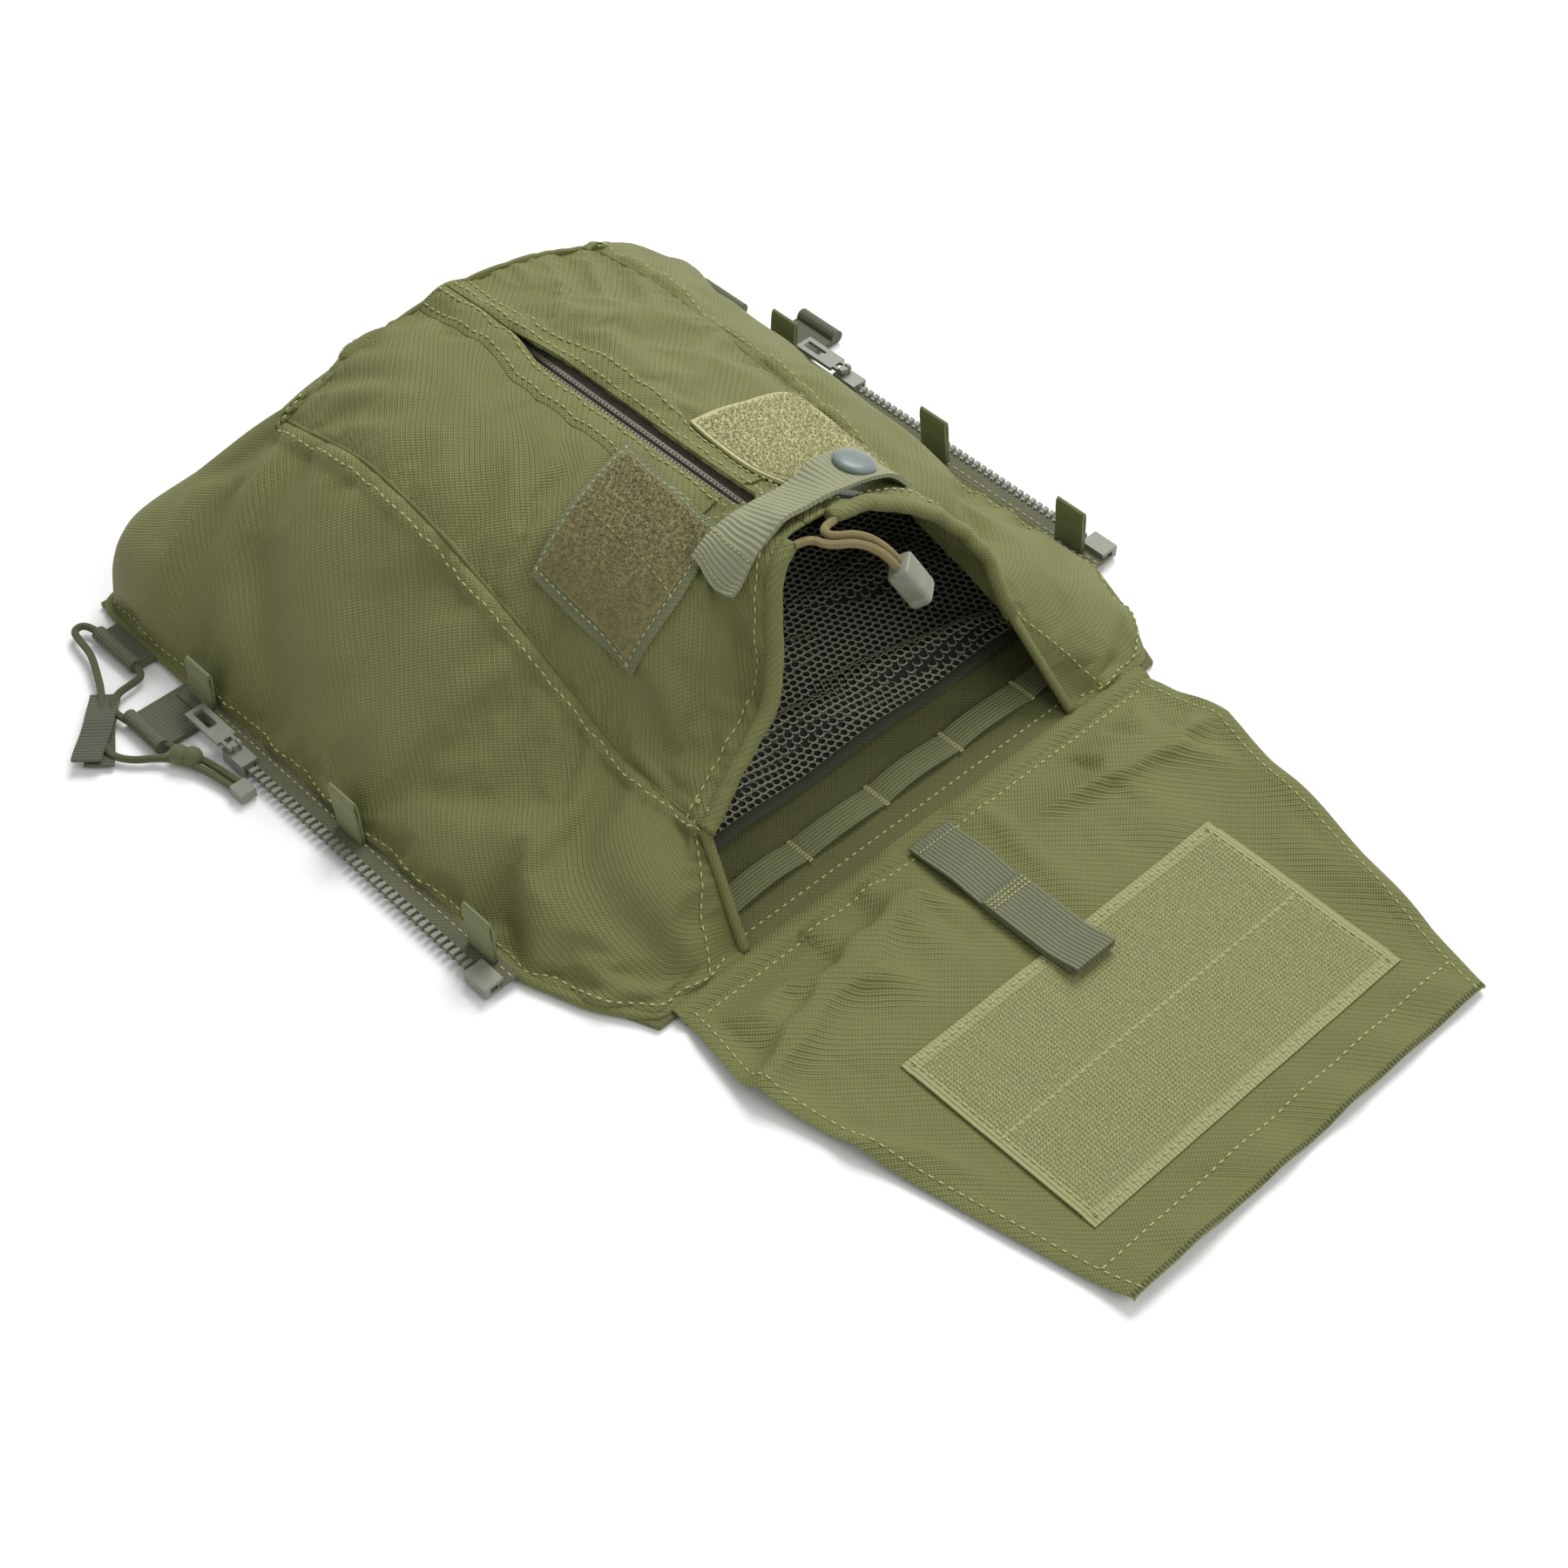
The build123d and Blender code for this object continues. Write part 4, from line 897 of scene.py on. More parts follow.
def make_gusset():
    """The gusset in its three lengths, with its stitches and the turned edge on the floor."""
    gusset = Gusset()
    SHAPE["gusset"] = gusset
    grid = sewn_edge(gusset.grid, gusset.out, ("v0",), 7.0, 1.7, 2.6)
    grid = sewn_edge(grid, gusset.out, ("v1",), 5.0, 0.7, 0.4)
    n = len(grid)
    middle = [0, round(n * 0.372), round(n * 0.628), n]
    for k, (word, node) in enumerate((("left", "side_gusset_left"), ("end", "bottom_gusset"),
                                      ("right", "side_gusset_right"))):
        part = grid[middle[k]: middle[k + 1] + 1]
        facing = gusset.out[(middle[k] + middle[k + 1]) // 2, grid.shape[1] // 2]
        piece = slab(f"gusset_cloth_{word}", part, CLOTH, up=tuple(facing))
        finish_piece(piece, "pack", "body_cloth", node, material=M["cloth"])
    u = np.linspace(0.004, 0.996, 560)
    top = gusset.at(u, 4.9 / 104.0 + 0 * u, 1.85)
    foot = gusset.at(u, 1 - 4.5 / 104.0 + 0 * u, 0.95)
    stitches("gusset_stitches", [top, foot])
    seam = gusset.at(np.linspace(0, 1, 400), np.zeros(400), -0.5)
    finish_piece(tube("seam_cord", seam, 1.0, 8), "pack", "body_cloth", material=M["cloth"])
    floor = gusset.at(np.linspace(0.0, 1.0, 420), np.ones(420), 0.0)
    floor[:, 2] = 1.9
    finish_piece(tube("edge_turning", floor, 2.0, 10, 0.85), "pack", "body_cloth", material=M["cloth"])


def make_hem():
    """Rolled hem round the mouth with the drawcord inside, and the folded edges of the gussets below it."""
    lines = []
    for side, word in ((1, "right"), (-1, "left")):
        half = front(side)
        v = np.linspace(0.115, 1.0, 60)
        edge = sample(half.grid, 0 * v, v)
        inward = sample(half.grid, 0.02 + 0 * v, v) - edge
        inward /= np.linalg.norm(inward, axis=1, keepdims=True)
        path = edge - inward * 1.9
        path[:, 2] -= 0.6
        gusset = SHAPE["gusset"]
        w = np.linspace(0, 1, 26)
        end = gusset.at((0.0 if side < 0 else 1.0) + 0 * w, w, 0.0)
        thick = 3.1 + 0.25 * ripple(np.linspace(0, 6, 60), 0, 5)
        thick[:3] *= (0.82, 0.93, 0.98)
        finish_piece(tube(f"hem_{word}", path, thick, 14, 0.9), "pack", "body_cloth", f"mouth_hem_{word}",
                     material=M["cloth"])
        if side > 0:
            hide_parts("drawcord_in_hem")
        drop = end.copy()
        drop[:, 1] -= 0.8
        finish_piece(tube(f"gusset_hem_{word}", drop, 2.0, 10, 0.8), "pack", "body_cloth",
                     material=M["cloth"])
        lines.append(sample(half.grid, 0.028 + 0 * v, v) + sample(half.out, 0.028 + 0 * v, v) * 1.0)
        lines.append(gusset.at((0.008 if side < 0 else 0.992) + 0 * w, w, 0.5))
        down, near_seam = np.linspace(0.0, 0.02, 8), np.full(8, 0.93)
        tack = sample(half.grid, down, near_seam) + sample(half.out, down, near_seam) * 1.5
        lines += [tack, tack + np.array([side * 0.7, 0, -0.3])]
    stitches("hem_stitches", lines)


PATCH_SIZE = 50
PATCH_CORNERS = {            # from the zip's end of the mouth edge, round the patch
    1: ((16, -59), (66, -59), (66, -10), (16, -10)),
    -1: ((-16, -64), (-61, -65), (-62, -17), (-10, -7)),
}


def patch_grid(side, inset, step):
    """Rows of x, y over a loop patch, inset from its edges."""
    a, b, c, d = (np.array(p, float) for p in PATCH_CORNERS[side])
    n = round((PATCH_SIZE - 2 * inset) / step) + 1
    share = np.linspace(inset / PATCH_SIZE, 1 - inset / PATCH_SIZE, n)
    u, v = np.meshgrid(share, share, indexing="ij")
    u, v = u[..., None], v[..., None]
    spot = a * (1 - u) * (1 - v) + b * u * (1 - v) + c * u * v + d * (1 - u) * v
    return spot[..., 0], spot[..., 1]


def make_patches():
    """The two loop patches: backing, pile and its fuzz, and the stitches round them."""
    # The right patch takes the lighter pile, which holds painted light.
    for side, word, pile in ((1, "right", "pile_light"), (-1, "left", "pile_brown")):
        half = front(side)
        x, y = patch_grid(side, 0.0, 1.6)
        grid = relaxed(half.at(x, y, 2.0), 12)
        piece = slab(f"loop_base_{word}", grid, 1.2)
        border = "tape_border" if side < 0 else pile
        finish_piece(piece, "pack", pile, f"loop_patch_{word}", material=M[border])
        inner = 3.2 if side < 0 else 1.6
        x, y = patch_grid(side, inner, 1.2)
        grid = relaxed(half.at(x, y, 2.5), 16)
        grid[..., 2] += 0.3 * ripple(x * 1.7, y * 1.7, 3)
        finish_piece(slab(f"loop_pile_{word}", grid, 0.6), "pack", pile, material=M[pile])
        random.seed(5)
        x, y = patch_grid(side, inner + 0.8, 0.95)
        jitter = np.array([random.uniform(-0.4, 0.4) for _ in range(2 * x.size)]).reshape(2, *x.shape)
        spots = relaxed(half.at(x, y, 2.6), 20) + np.stack([jitter[0], jitter[1], 0 * x], 2)
        fuzz = grown(f"loop_fuzz_{word}", [spots.reshape(-1, 3)], TREES["bristle"], {
            "Height": 1.5 * MM, "Thickness": 0.42 * MM, "Lean": 1.3, "Seed": 4, "Material": M[pile]})
        finish_piece(fuzz, "pack", pile)
        inset = 2.6 if side < 0 else 4.0
        x, y = patch_grid(side, inset, 1.2)
        rim = relaxed(half.at(x, y, 2.95), 12)
        lines = [rim[0], rim[-1], rim[:, 0], rim[:, -1], rim[len(rim) // 2]]
        stitches(f"patch_stitches_{word}", lines, pitch=3.0, length=2.1, thickness=0.5,
                 material="thread" if side < 0 else "lint")


def make_front_zip():
    """The zip between the flies: its cast tape, coil, slider and pull with new finishes, and stitches along
    the coil.
    """
    # The front zip's tape material is brightened: painted light for the shade between the flies.
    for name, key in (("front_zip_tapes", "zip_tape"), ("front_zip_coil", "zip_coil"),
                      ("front_zip_slider", "zip_metal"), ("front_zip_pull", "zip_metal")):
        recoat(name, key)
    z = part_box("front_zip_coil")[1][2] / MM + 0.12
    y = np.linspace(-55, 97, 60)
    lines = [np.stack([0 * y + x, y, 0 * y + z], 1) for x in (-1.35, 1.35)]
    stitches("coil_stitches", lines, pitch=1.7, length=1.15, thickness=0.55, material="dark_thread")


def recoat(node, key):
    """Gives a cast or woven part that keeps its own shape a better material."""
    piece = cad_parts[node]
    for slot in piece.material_slots:
        slot.material = M[key]
    if not piece.material_slots:
        piece.data.materials.append(M[key])


def make_side_zips():
    """The moulded teeth of the two side zips, and the materials of what the cast parts already show."""
    tooth = [((4.0 * MM, 1.25 * MM, 1.9 * MM), (0, 0, 0)),
             ((2.3 * MM, 1.9 * MM, 3.0 * MM), (0.55 * MM, 0, 0)),
             ((1.5 * MM, 1.5 * MM, 2.4 * MM), (-1.1 * MM, 0, 0))]
    for side, word in ((1, "right"), (-1, "left")):
        parts = [(size, (at[0] * side, at[1], at[2])) for size, at in tooth]
        tree = row_tree(f"Teeth {word}", parts)
        first, pitch, count = -82.0 + 0.95, 3.3, 40
        last = first + pitch * (count - 1) + 0.02
        line = [np.array([(side * 150.5, first, 3.3), (side * 150.5, last, 3.3)])]
        teeth = grown(f"zip_teeth_{word}", line, tree, {"Pitch": pitch * MM, "Material": M["zip_plastic"]})
        finish_piece(teeth, "pack", "zip_plastic", f"side_zip_teeth_{word}")
        for kind, key in (("tape", "side_tape"), ("box", "zip_plastic"), ("slider", "zip_metal"),
                          ("pull", "zip_metal")):
            recoat(f"side_zip_{kind}_{word}", key)
        y = np.linspace(-94, 86, 80)
        stitches(f"tape_stitches_{word}", [np.stack([0 * y + side * 143.4, y, 0 * y + 3.85], 1)])


def make_side_loops():
    """Upright loops of narrow webbing sewn into the side seams."""
    for side, word in ((1, "right"), (-1, "left")):
        loops = []
        for k, y in enumerate((-81.0, -10.0, 78.0)):
            t = np.linspace(0, 1, 40)
            lean = (1.2, 2.2, -1.4)[k]
            angle = np.pi * t
            x = 143.6 - 1.75 * np.cos(angle) * (0.55 + 0.45 * np.sin(angle))
            z = 4.6 + 18.6 * np.sin(angle) ** 0.33
            z[0] = z[-1] = 4.0
            w = np.linspace(-6.8, 6.8, 9)
            x, z = np.repeat(side * x[:, None], 9, 1), np.repeat(z[:, None], 9, 1)
            loops.append(slab(f"loop_{k}", np.stack([x, y + w[None] + (z / 20) * lean, z], 2), 0.9))
        piece = joined(f"side_webbing_loops_{word}", loops)
        finish_piece(piece, "pack", "olive_webbing", f"side_loops_{word}", material=M["olive_webbing"])


def ring_faces(rings, sides):
    """Faces between rings of points that follow one another."""
    return [(k + i, k + (i + 1) % sides, k + sides + (i + 1) % sides, k + sides + i)
            for k in range(0, (rings - 1) * sides, sides) for i in range(sides)]


def smooth_solid(name, verts, faces):
    """A closed piece with smooth shading and its faces turned outwards."""
    mesh = bpy.data.meshes.new(name)
    mesh.from_pydata(verts, [], faces)
    mesh.polygons.foreach_set("use_smooth", np.ones(len(faces), bool))
    recalculated(mesh)
    return link(name, mesh)


def snap_cap_disc(middle, up):
    """Domed cap of the snap, square to the strap it is pressed through."""
    sides = 64
    up = Vector(up if up[2] > 0 else -up)
    turn = up.to_track_quat("Z", "Y").to_matrix()
    rings = [(3.0, 2.8), (5.4, 2.5), (6.9, 2.0), (7.6, 1.4), (7.8, 0.7), (7.6, -0.2)]
    angles = np.linspace(0, 2 * math.pi, sides, endpoint=False)
    verts = [(Vector(middle) + turn @ Vector((r * math.cos(a), r * math.sin(a), h))) * MM
             for r, h in rings for a in angles]
    faces = ring_faces(len(rings), sides)
    top = len(verts)
    verts.append((Vector(middle) + up * 2.9) * MM)
    faces += [(i, (i + 1) % sides, top) for i in range(sides)]
    faces.append([top - sides + i for i in range(sides)])
    piece = smooth_solid("snap_cap_disc", verts, faces)
    finish_piece(piece, "snap_strap", "snap_paint", "snap_cap", material=M["snap_paint"])


def make_snap_strap():
    """The strap over the mouth, which lies on the cloth, and its snap."""
    x, y = mesh_grid(-28, 53, -81.5, -62.5, 1.0)
    corner = np.interp(y, (-84, -58), (45, 54))
    middle = np.interp(y, (-84, -58), (108, 98))
    radius = (SEAM_X**2 + (middle - corner) ** 2) / (2 * (middle - corner))
    z = middle - radius + np.sqrt(radius**2 - x**2) + 5.4
    z -= 15 * smooth(-x, 6, 28) + 0.2 * ripple(x / 12, y / 9, 2)
    z -= 1.3 * smooth(x, -6, 4) * (1 - smooth(x, 8, 22)) - 0.8 * smooth(-x, 4, 15)
    z += smooth(x, 10, 26) * (1 - smooth(x, 43, 53)) * (0.34 * (y + 74) + 0.16 * (x - 14))
    cloth = on_front(x, y)[..., 2] + 2.7 + 2.2 * smooth(y, -69, -65.5) * smooth(-x, 8, 14)
    z = np.maximum(z, cloth)
    grid = relaxed(np.stack([x - 3.0 * smooth(-x, 8, 28), y, z], 2), 3)
    grid[..., 2] += 0.3 * smooth(np.abs(y + 72), 7.0, 8.4)
    piece = slab("snap_strap_webbing", grid, 1.6)
    finish_piece(piece, None, "grey_webbing", "snap_strap", "snap_strap_anchor", material=M["grey_webbing"])
    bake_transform(piece)
    snap_cap_disc(sample(grid, 62.5 / 81, 0.5), sample(normals_of(grid), 62.5 / 81, 0.5))
    for node in ("snap_socket", "snap_stud", "snap_post"):
        recoat(node, "snap_paint")
    t = np.linspace(0, 1, 26)
    rows = []
    for share in (0.02, 0.10, 0.93, 0.975):
        row = sample(grid, share + 0 * t, 0.08 + 0.84 * t)
        rows.append(row + np.array([0, 0, 0.25]))
    piece = stitches("strap_stitches", rows, body=None, pitch=2.0, length=1.6, thickness=0.5)
    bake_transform(piece)


def make_lid():
    """The open lid in its folds, its hems, and the fold of cloth at its seam."""
    t = np.linspace(-1, 1, 150)[:, None]
    y = np.concatenate([np.linspace(-145.2, -152, 6)[:-1], np.linspace(-152, -317.4, 130)])[None]
    x = t * lid_half(y)
    yy = np.broadcast_to(y, x.shape)
    grid = np.stack([x, yy, lid_height(x, yy)], 2)
    side_edge, tip_edge = (1 - np.abs(t)) * lid_half(y), y + 317.4
    hem = np.maximum(1 - smooth(side_edge, 6.4, 8.0), 1 - smooth(tip_edge, 15.4, 17.4))
    grid[..., 2] += 0.6 * hem - 0.5 * (1 - smooth(np.minimum(side_edge, tip_edge), 0, 1.6))
    grid[..., 2] = np.maximum(grid[..., 2], 1.25)
    piece = slab("lid_cloth", grid, 1.2)
    piece.data.materials.append(M["cloth"])
    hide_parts("lid_base", "lid_tip")
    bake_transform(piece)
    lines = []
    ys = np.linspace(-148, -315.6, 140)
    for side in (1, -1):
        xs = side * (lid_half(ys) - 4.4)
        lines.append(np.stack([xs, ys, lid_height(xs, ys) + 0.8], 1))
    xs = np.linspace(-84.5, 84.5, 90)
    lines.append(np.stack([xs, 0 * xs - 303.2, lid_height(xs, 0 * xs - 303.2) + 0.8], 1))
    xs = np.linspace(-112, 112, 120)
    lines.append(np.stack([xs, 0 * xs - 149.5, lid_height(xs, 0 * xs - 149.5) + 0.2], 1))
    two_body_stitches("lid_stitches", lines)
    xs = np.linspace(-86, 86, 120)
    edge = [np.stack([xs, 0 * xs - 316.2, np.maximum(lid_height(xs, 0 * xs - 316.2), 1.5) + 0.1], 1)]
    stitches("lid_overlock", edge, body="lid_tip", pitch=1.5, length=1.2, thickness=2.2,
             material="edge_thread")
    strip_x, strip_v = np.meshgrid(np.linspace(-114, 114, 120), np.linspace(0, 1, 12), indexing="ij")
    arch = np.sin(np.pi * strip_v)
    rise = 0.3 + 1.6 * smooth(np.abs(strip_x), 10, 17)
    grid = np.stack([strip_x, -139.5 - 9.0 * strip_v,
                     2.3 + rise * arch * (1 + 0.25 * ripple(strip_x / 18, 0, 4)) - 0.9 * strip_v], 2)
    piece = slab("lid_seam_fold", grid, 0.9)
    piece.data.materials.append(M["cloth"])
    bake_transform(piece)


def two_body_stitches(name, lines):
    """Stitches on the open lid, baked into place and on no body."""
    piece = stitches(name, lines, body=None)
    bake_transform(piece)


def make_hook_patch():
    """The hook tape across the lid's tip and its small hooks."""
    x, y = mesh_grid(-75.4, 75.4, -291.5, -208.0, 1.3)
    edge = np.minimum(75.4 - np.abs(x), np.minimum(y + 291.5, -208.0 - y))
    ridge = 0.5 * smooth(np.minimum(y + 291.5, -208.0 - y), 4.2, 5.4)
    z = lid_height(x, y) + 1.05 + ridge - 0.35 * (1 - smooth(edge, 0, 1.5))
    z += 0.12 * ripple(x / 9, y / 9, 14)
    piece = slab("hook_tape", np.stack([x, y, z], 2), 1.1)
    piece.data.materials.append(M["hook_tape"])
    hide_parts("hook_patch_base", "hook_patch_tip")
    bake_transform(piece)
    lines = []
    for yy in (-288.8, -210.6, -250.0):
        xs = np.linspace(-72, 72, 100)
        above = 1.75 if yy == FOLD_Y else 1.25
        lines.append(np.stack([xs, 0 * xs + yy, lid_height(xs, 0 * xs + yy) + above], 1))
    for xx in (-72, 72):
        ys = np.linspace(-288.8, -210.6, 60)
        lines.append(np.stack([0 * ys + xx, ys, lid_height(0 * ys + xx, ys) + 1.8], 1))
    two_body_stitches("hook_stitches", lines)
    x, y = mesh_grid(-70.5, 70.5, -286, -213.5, 1.35)
    keep = np.abs(y + 250) > 0.9
    x = x + 0.3 * np.sin(y * 2.1)
    spots = np.stack([x, y, lid_height(x, y) + 1.9], 2)[keep]
    # The hooks take the lighter copy of the tape's colour, which is painted light.
    hooks = grown("hook_rows", [spots], TREES["bristle"], {
        "Height": 0.9 * MM, "Thickness": 0.55 * MM, "Lean": 0.5, "Seed": 8, "Material": M["hook_tips_painted_light"]})
    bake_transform(hooks)


def make_hang_strap():
    """The hang strap, turned back on itself and tacked to the lid."""
    x, y = mesh_grid(-9.4, 9.4, -223.5, -146.4, 1.1)
    rise = 0.8 + 2.4 * smooth(-y, 208, 224) + 1.5 * np.exp(-(((y + 166) / 10) ** 2))
    z = np.maximum(lid_height(x, y) + 1.5, 3.3) + rise + 0.12 * ripple(x / 5, y / 7, 4)
    far = slab("strap_long", np.stack([x, y, z], 2), 1.3)
    keep = y[0] < -180.4
    x2, y2, z2 = x[:, keep], y[:, keep], z[:, keep]
    near = slab("strap_turned", np.stack([x2, y2, z2 + 1.45 + 0.7 * smooth(-y2, 216, 223.5)], 2), 1.3)
    piece = joined("hang_strap_webbing", [far, near])
    finish_piece(piece, "hang_strap", "grey_webbing", "hang_strap", material=M["grey_webbing_coarse"])
    t = np.linspace(-8.2, 8.2, 12)
    lines = []
    strap = np.stack([x, y, z], 2)
    for k, yy in enumerate(np.linspace(-182.5, -186, 5)):
        height = sample(strap, 0.5 + 0 * t, np.full(12, (yy + 223.5) / 77.1))[:, 2]
        lines.append(np.stack([t, 0 * t + yy + 0.4 * (-1) ** k, height + 1.75], 1))
    height = sample(strap, 0.5 + 0 * t, np.full(12, 73 / 77.1))[:, 2]
    lines.append(np.stack([t, 0 * t - 150.5, height + 0.3], 1))
    stitches("hang_strap_tack", lines, body="hang_strap", pitch=1.6, length=1.5, thickness=0.6)


def net_height(x, y):
    """Height of the loose net pocket, which lies in soft folds across the pack."""
    folds = np.maximum(0, ripple(x / 80, (y + 0.3 * x) / 13, 31) + 0.08) ** 0.8 * 13.0
    near = 2.2 * np.abs(np.sin(x / 21 + 0.6)) ** 1.5
    loose = folds * smooth(y, -99, -84) * (1 - smooth(y, 50, 68)) + near * (1 - smooth(y, -96, -70))
    return 3.0 + loose * (1 - smooth(np.abs(x), 80, 108))


def make_inside():
    """Back panel, net pocket, a near-black sheet of painted shade under the net, and the narrow webbing that
    shows in the mouth.
    """
    # The back panel takes the darkened cloth, which holds painted shade.
    recoat("back_panel", "lining")
    x, y = mesh_grid(-92, 92, -126, -116, 1.25)
    z = 3.25 + 2.3 * np.abs(np.sin(np.pi * x / 37)) ** 0.6 + 0.3 * ripple(x / 20, 0 * x, 3)
    piece = slab("narrow_webbing", np.stack([x, y + 0.8 * ripple(x / 25, 0 * x, 6), z], 2), 1.0)
    finish_piece(piece, "pack", "olive_webbing", "daisy_chain", "daisy_chain_tacks",
                 material=M["narrow_webbing"])
    t = np.linspace(-126.5, -115.5, 8)
    tacks = [np.stack([0 * t + k * 37.0 + d, t, 0 * t + 3.7], 1)
             for k in range(-2, 3) for d in (-0.6, 0, 0.6)]
    stitches("webbing_tacks", tacks, pitch=1.3, length=1.4, thickness=0.7)
    pitch = 3.3
    rows = []
    step = pitch * math.sqrt(3) / 2
    for k in range(int(168 / step)):
        shift = 0.5 * pitch * (k % 2)
        xs = np.arange(-110.5 + shift, 110.5, pitch)
        ys = np.full_like(xs, -98.5 + k * step)
        zs = net_height(xs, ys) + 0.5
        rows.append(np.stack([xs, ys, zs], 1))
    net = grown("net_pocket", rows, TREES["net"], {
        "Hole": 3.7 * MM, "Yarn": 0.75 * MM, "Material": M["mesh_yarn"]})
    finish_piece(net, "pack", "mesh", "mesh_pocket")
    # The near-black sheet under the net is painted shade for the inside of the pouch.
    x, y = mesh_grid(-111.5, 111.5, -100.5, 69.5, 2.5)
    piece = slab("net_shade_sheet", np.stack([x, y, net_height(x, y)], 2), 0.5)
    finish_piece(piece, "pack", "mesh", "mesh_binding", material=M["net_shade_sheet"])
    x = np.linspace(-110, 110, 160)
    edge = np.stack([x, 0 * x - 99.6, net_height(x, 0 * x - 99.6) + 0.5], 1)
    finish_piece(tube("net_hem", edge, 2.6, 10, 0.42), "pack", "mesh", material=M["net_edge"])
    x = np.linspace(-104, 104, 80)
    stitches("inside_stitches", [np.stack([x, 0 * x - 134.0, 0 * x + 2.2], 1)])


def smooth_curve(name, points, resolution):
    """A curve that a route's points, in metres, pull."""
    curve = bpy.data.curves.new(name, "CURVE")
    curve.dimensions = "3D"
    curve.resolution_u = resolution
    spline = curve.splines.new("NURBS")
    spline.points.add(len(points) - 1)
    for spot, place in zip(spline.points, points):
        spot.co = (*place, 1)
    spline.order_u = 3
    spline.use_endpoint_u = True
    return curve


def make_cord(name, points, diameter, length, body, nodes, material):
    """One free cord, round in section, that lies along its route."""
    curve = smooth_curve(name, points, 10)
    curve.bevel_depth = diameter / 2
    curve.bevel_resolution = 4
    curve.use_fill_caps = True
    curve.materials.append(material)
    piece = link(name, curve)
    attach(piece, body)
    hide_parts(*nodes)
    return piece


def curve_length(points):
    """Length in metres of the smooth cord that a route's points pull."""
    piece = link("measured", smooth_curve("measured", points, 24))
    graph = bpy.context.evaluated_depsgraph_get()
    mesh = bpy.data.meshes.new_from_object(piece.evaluated_get(graph))
    co = np.array([v.co for v in mesh.vertices])
    bpy.data.objects.remove(piece)
    return float(np.linalg.norm(np.diff(co, axis=0), axis=1).sum())


def cord_end_block():
    """Moulded block that clasps both strands: rounded sides, a fine joint line and a rounded far end."""
    heading, drop = math.radians(-52.0), math.radians(55.0)
    along = Vector((math.cos(drop) * math.cos(heading), math.cos(drop) * math.sin(heading), -math.sin(drop)))
    wide = Vector((-math.sin(heading), math.cos(heading), 0))
    deep = along.cross(wide)
    back = Vector((15.3, -112.3, 98.0))
    sides = 48
    rows = [(0.0, 0.02), (0.0, 0.78), (0.35, 0.92), (0.9, 1.0), (11.6, 1.0), (11.9, 0.955), (12.3, 0.955),
            (12.6, 1.0), (14.2, 0.985), (15.2, 0.93), (15.9, 0.82), (16.3, 0.62), (16.5, 0.3), (16.5, 0.02)]
    turn = np.linspace(0, 2 * math.pi, sides, endpoint=False)
    c, s = np.cos(turn), np.sin(turn)
    outline = np.stack([np.sign(c) * np.abs(c) ** 0.42 * 6.0, np.sign(s) * np.abs(s) ** 0.42 * 4.25], 1)
    verts = [(back + wide * a + deep * b + along * depth) * MM
             for depth, share in rows for a, b in outline * share]
    faces = ring_faces(len(rows), sides)
    faces += [tuple(range(sides)), tuple(range(len(verts) - sides, len(verts)))]
    piece = smooth_solid("cord_end_block", verts, faces)
    return finish_piece(piece, "drawcord_pull", "zip_plastic", "cord_end", "cord_end_cap",
                        material=M["zip_plastic"])


def make_drawcord():
    """The drawcord's two free strands and the block they end in."""
    cord_end_block()
    make_cord("drawcord_right", DRAWCORD_RIGHT, 0.003, curve_length(DRAWCORD_RIGHT),
              "drawcord_pull", ["drawcord_strand_right"], M["tan_cord"])
    make_cord("drawcord_left", DRAWCORD_LEFT, 0.003, curve_length(DRAWCORD_LEFT),
              "drawcord_pull", ["drawcord_strand_left"], M["tan_cord"])


def make_corner():
    """Shock cord, webbing and pull tab at the pack's corner."""
    make_cord("shock_cord_outer_run", SHOCK_CORD_OUTER, 0.0028,
              curve_length(SHOCK_CORD_OUTER), "pack", ["shock_cord_outer"],
              M["olive_cord"])
    make_cord("shock_cord_inner_run", SHOCK_CORD_INNER, 0.0028,
              curve_length(SHOCK_CORD_INNER), "pack", ["shock_cord_inner"],
              M["olive_cord"])
    for place in ("far_left", "far_right", "near_left", "near_right"):
        recoat(f"corner_web_{place}", "dark_webbing")
    recoat("cord_knot", "olive_cord")
    recoat("cord_tip", "zip_plastic")
    heading = math.radians(48.7)
    along = np.array([math.cos(heading), math.sin(heading), 0])
    aside = np.array([-math.sin(heading), math.cos(heading), 0])
    middle = np.array([-178.5, 93.0, 3.1])
    flaps = []
    for lift, splay in ((1.9, 1.0), (-1.0, -1.0)):
        s = np.linspace(-16.8, 16.8, 30)[:, None]
        w = np.linspace(-5.3, 5.3, 9)[None]
        spread = smooth(-s, -4, 16.8) * 2.0 * splay
        z = middle[2] + lift * (0.35 + 0.65 * smooth(-s, -14, 0)) + 0 * w
        grid = middle + along * s[..., None] + aside * (w + spread)[..., None]
        grid[..., 2] = z + 0.3 * np.sin(s / 4)
        flaps.append(slab("flap", grid, 1.2))
    piece = joined("pull_tab_webbing", flaps)
    finish_piece(piece, "pack", "grey_webbing", "pull_tab", material=M["tab_webbing"])


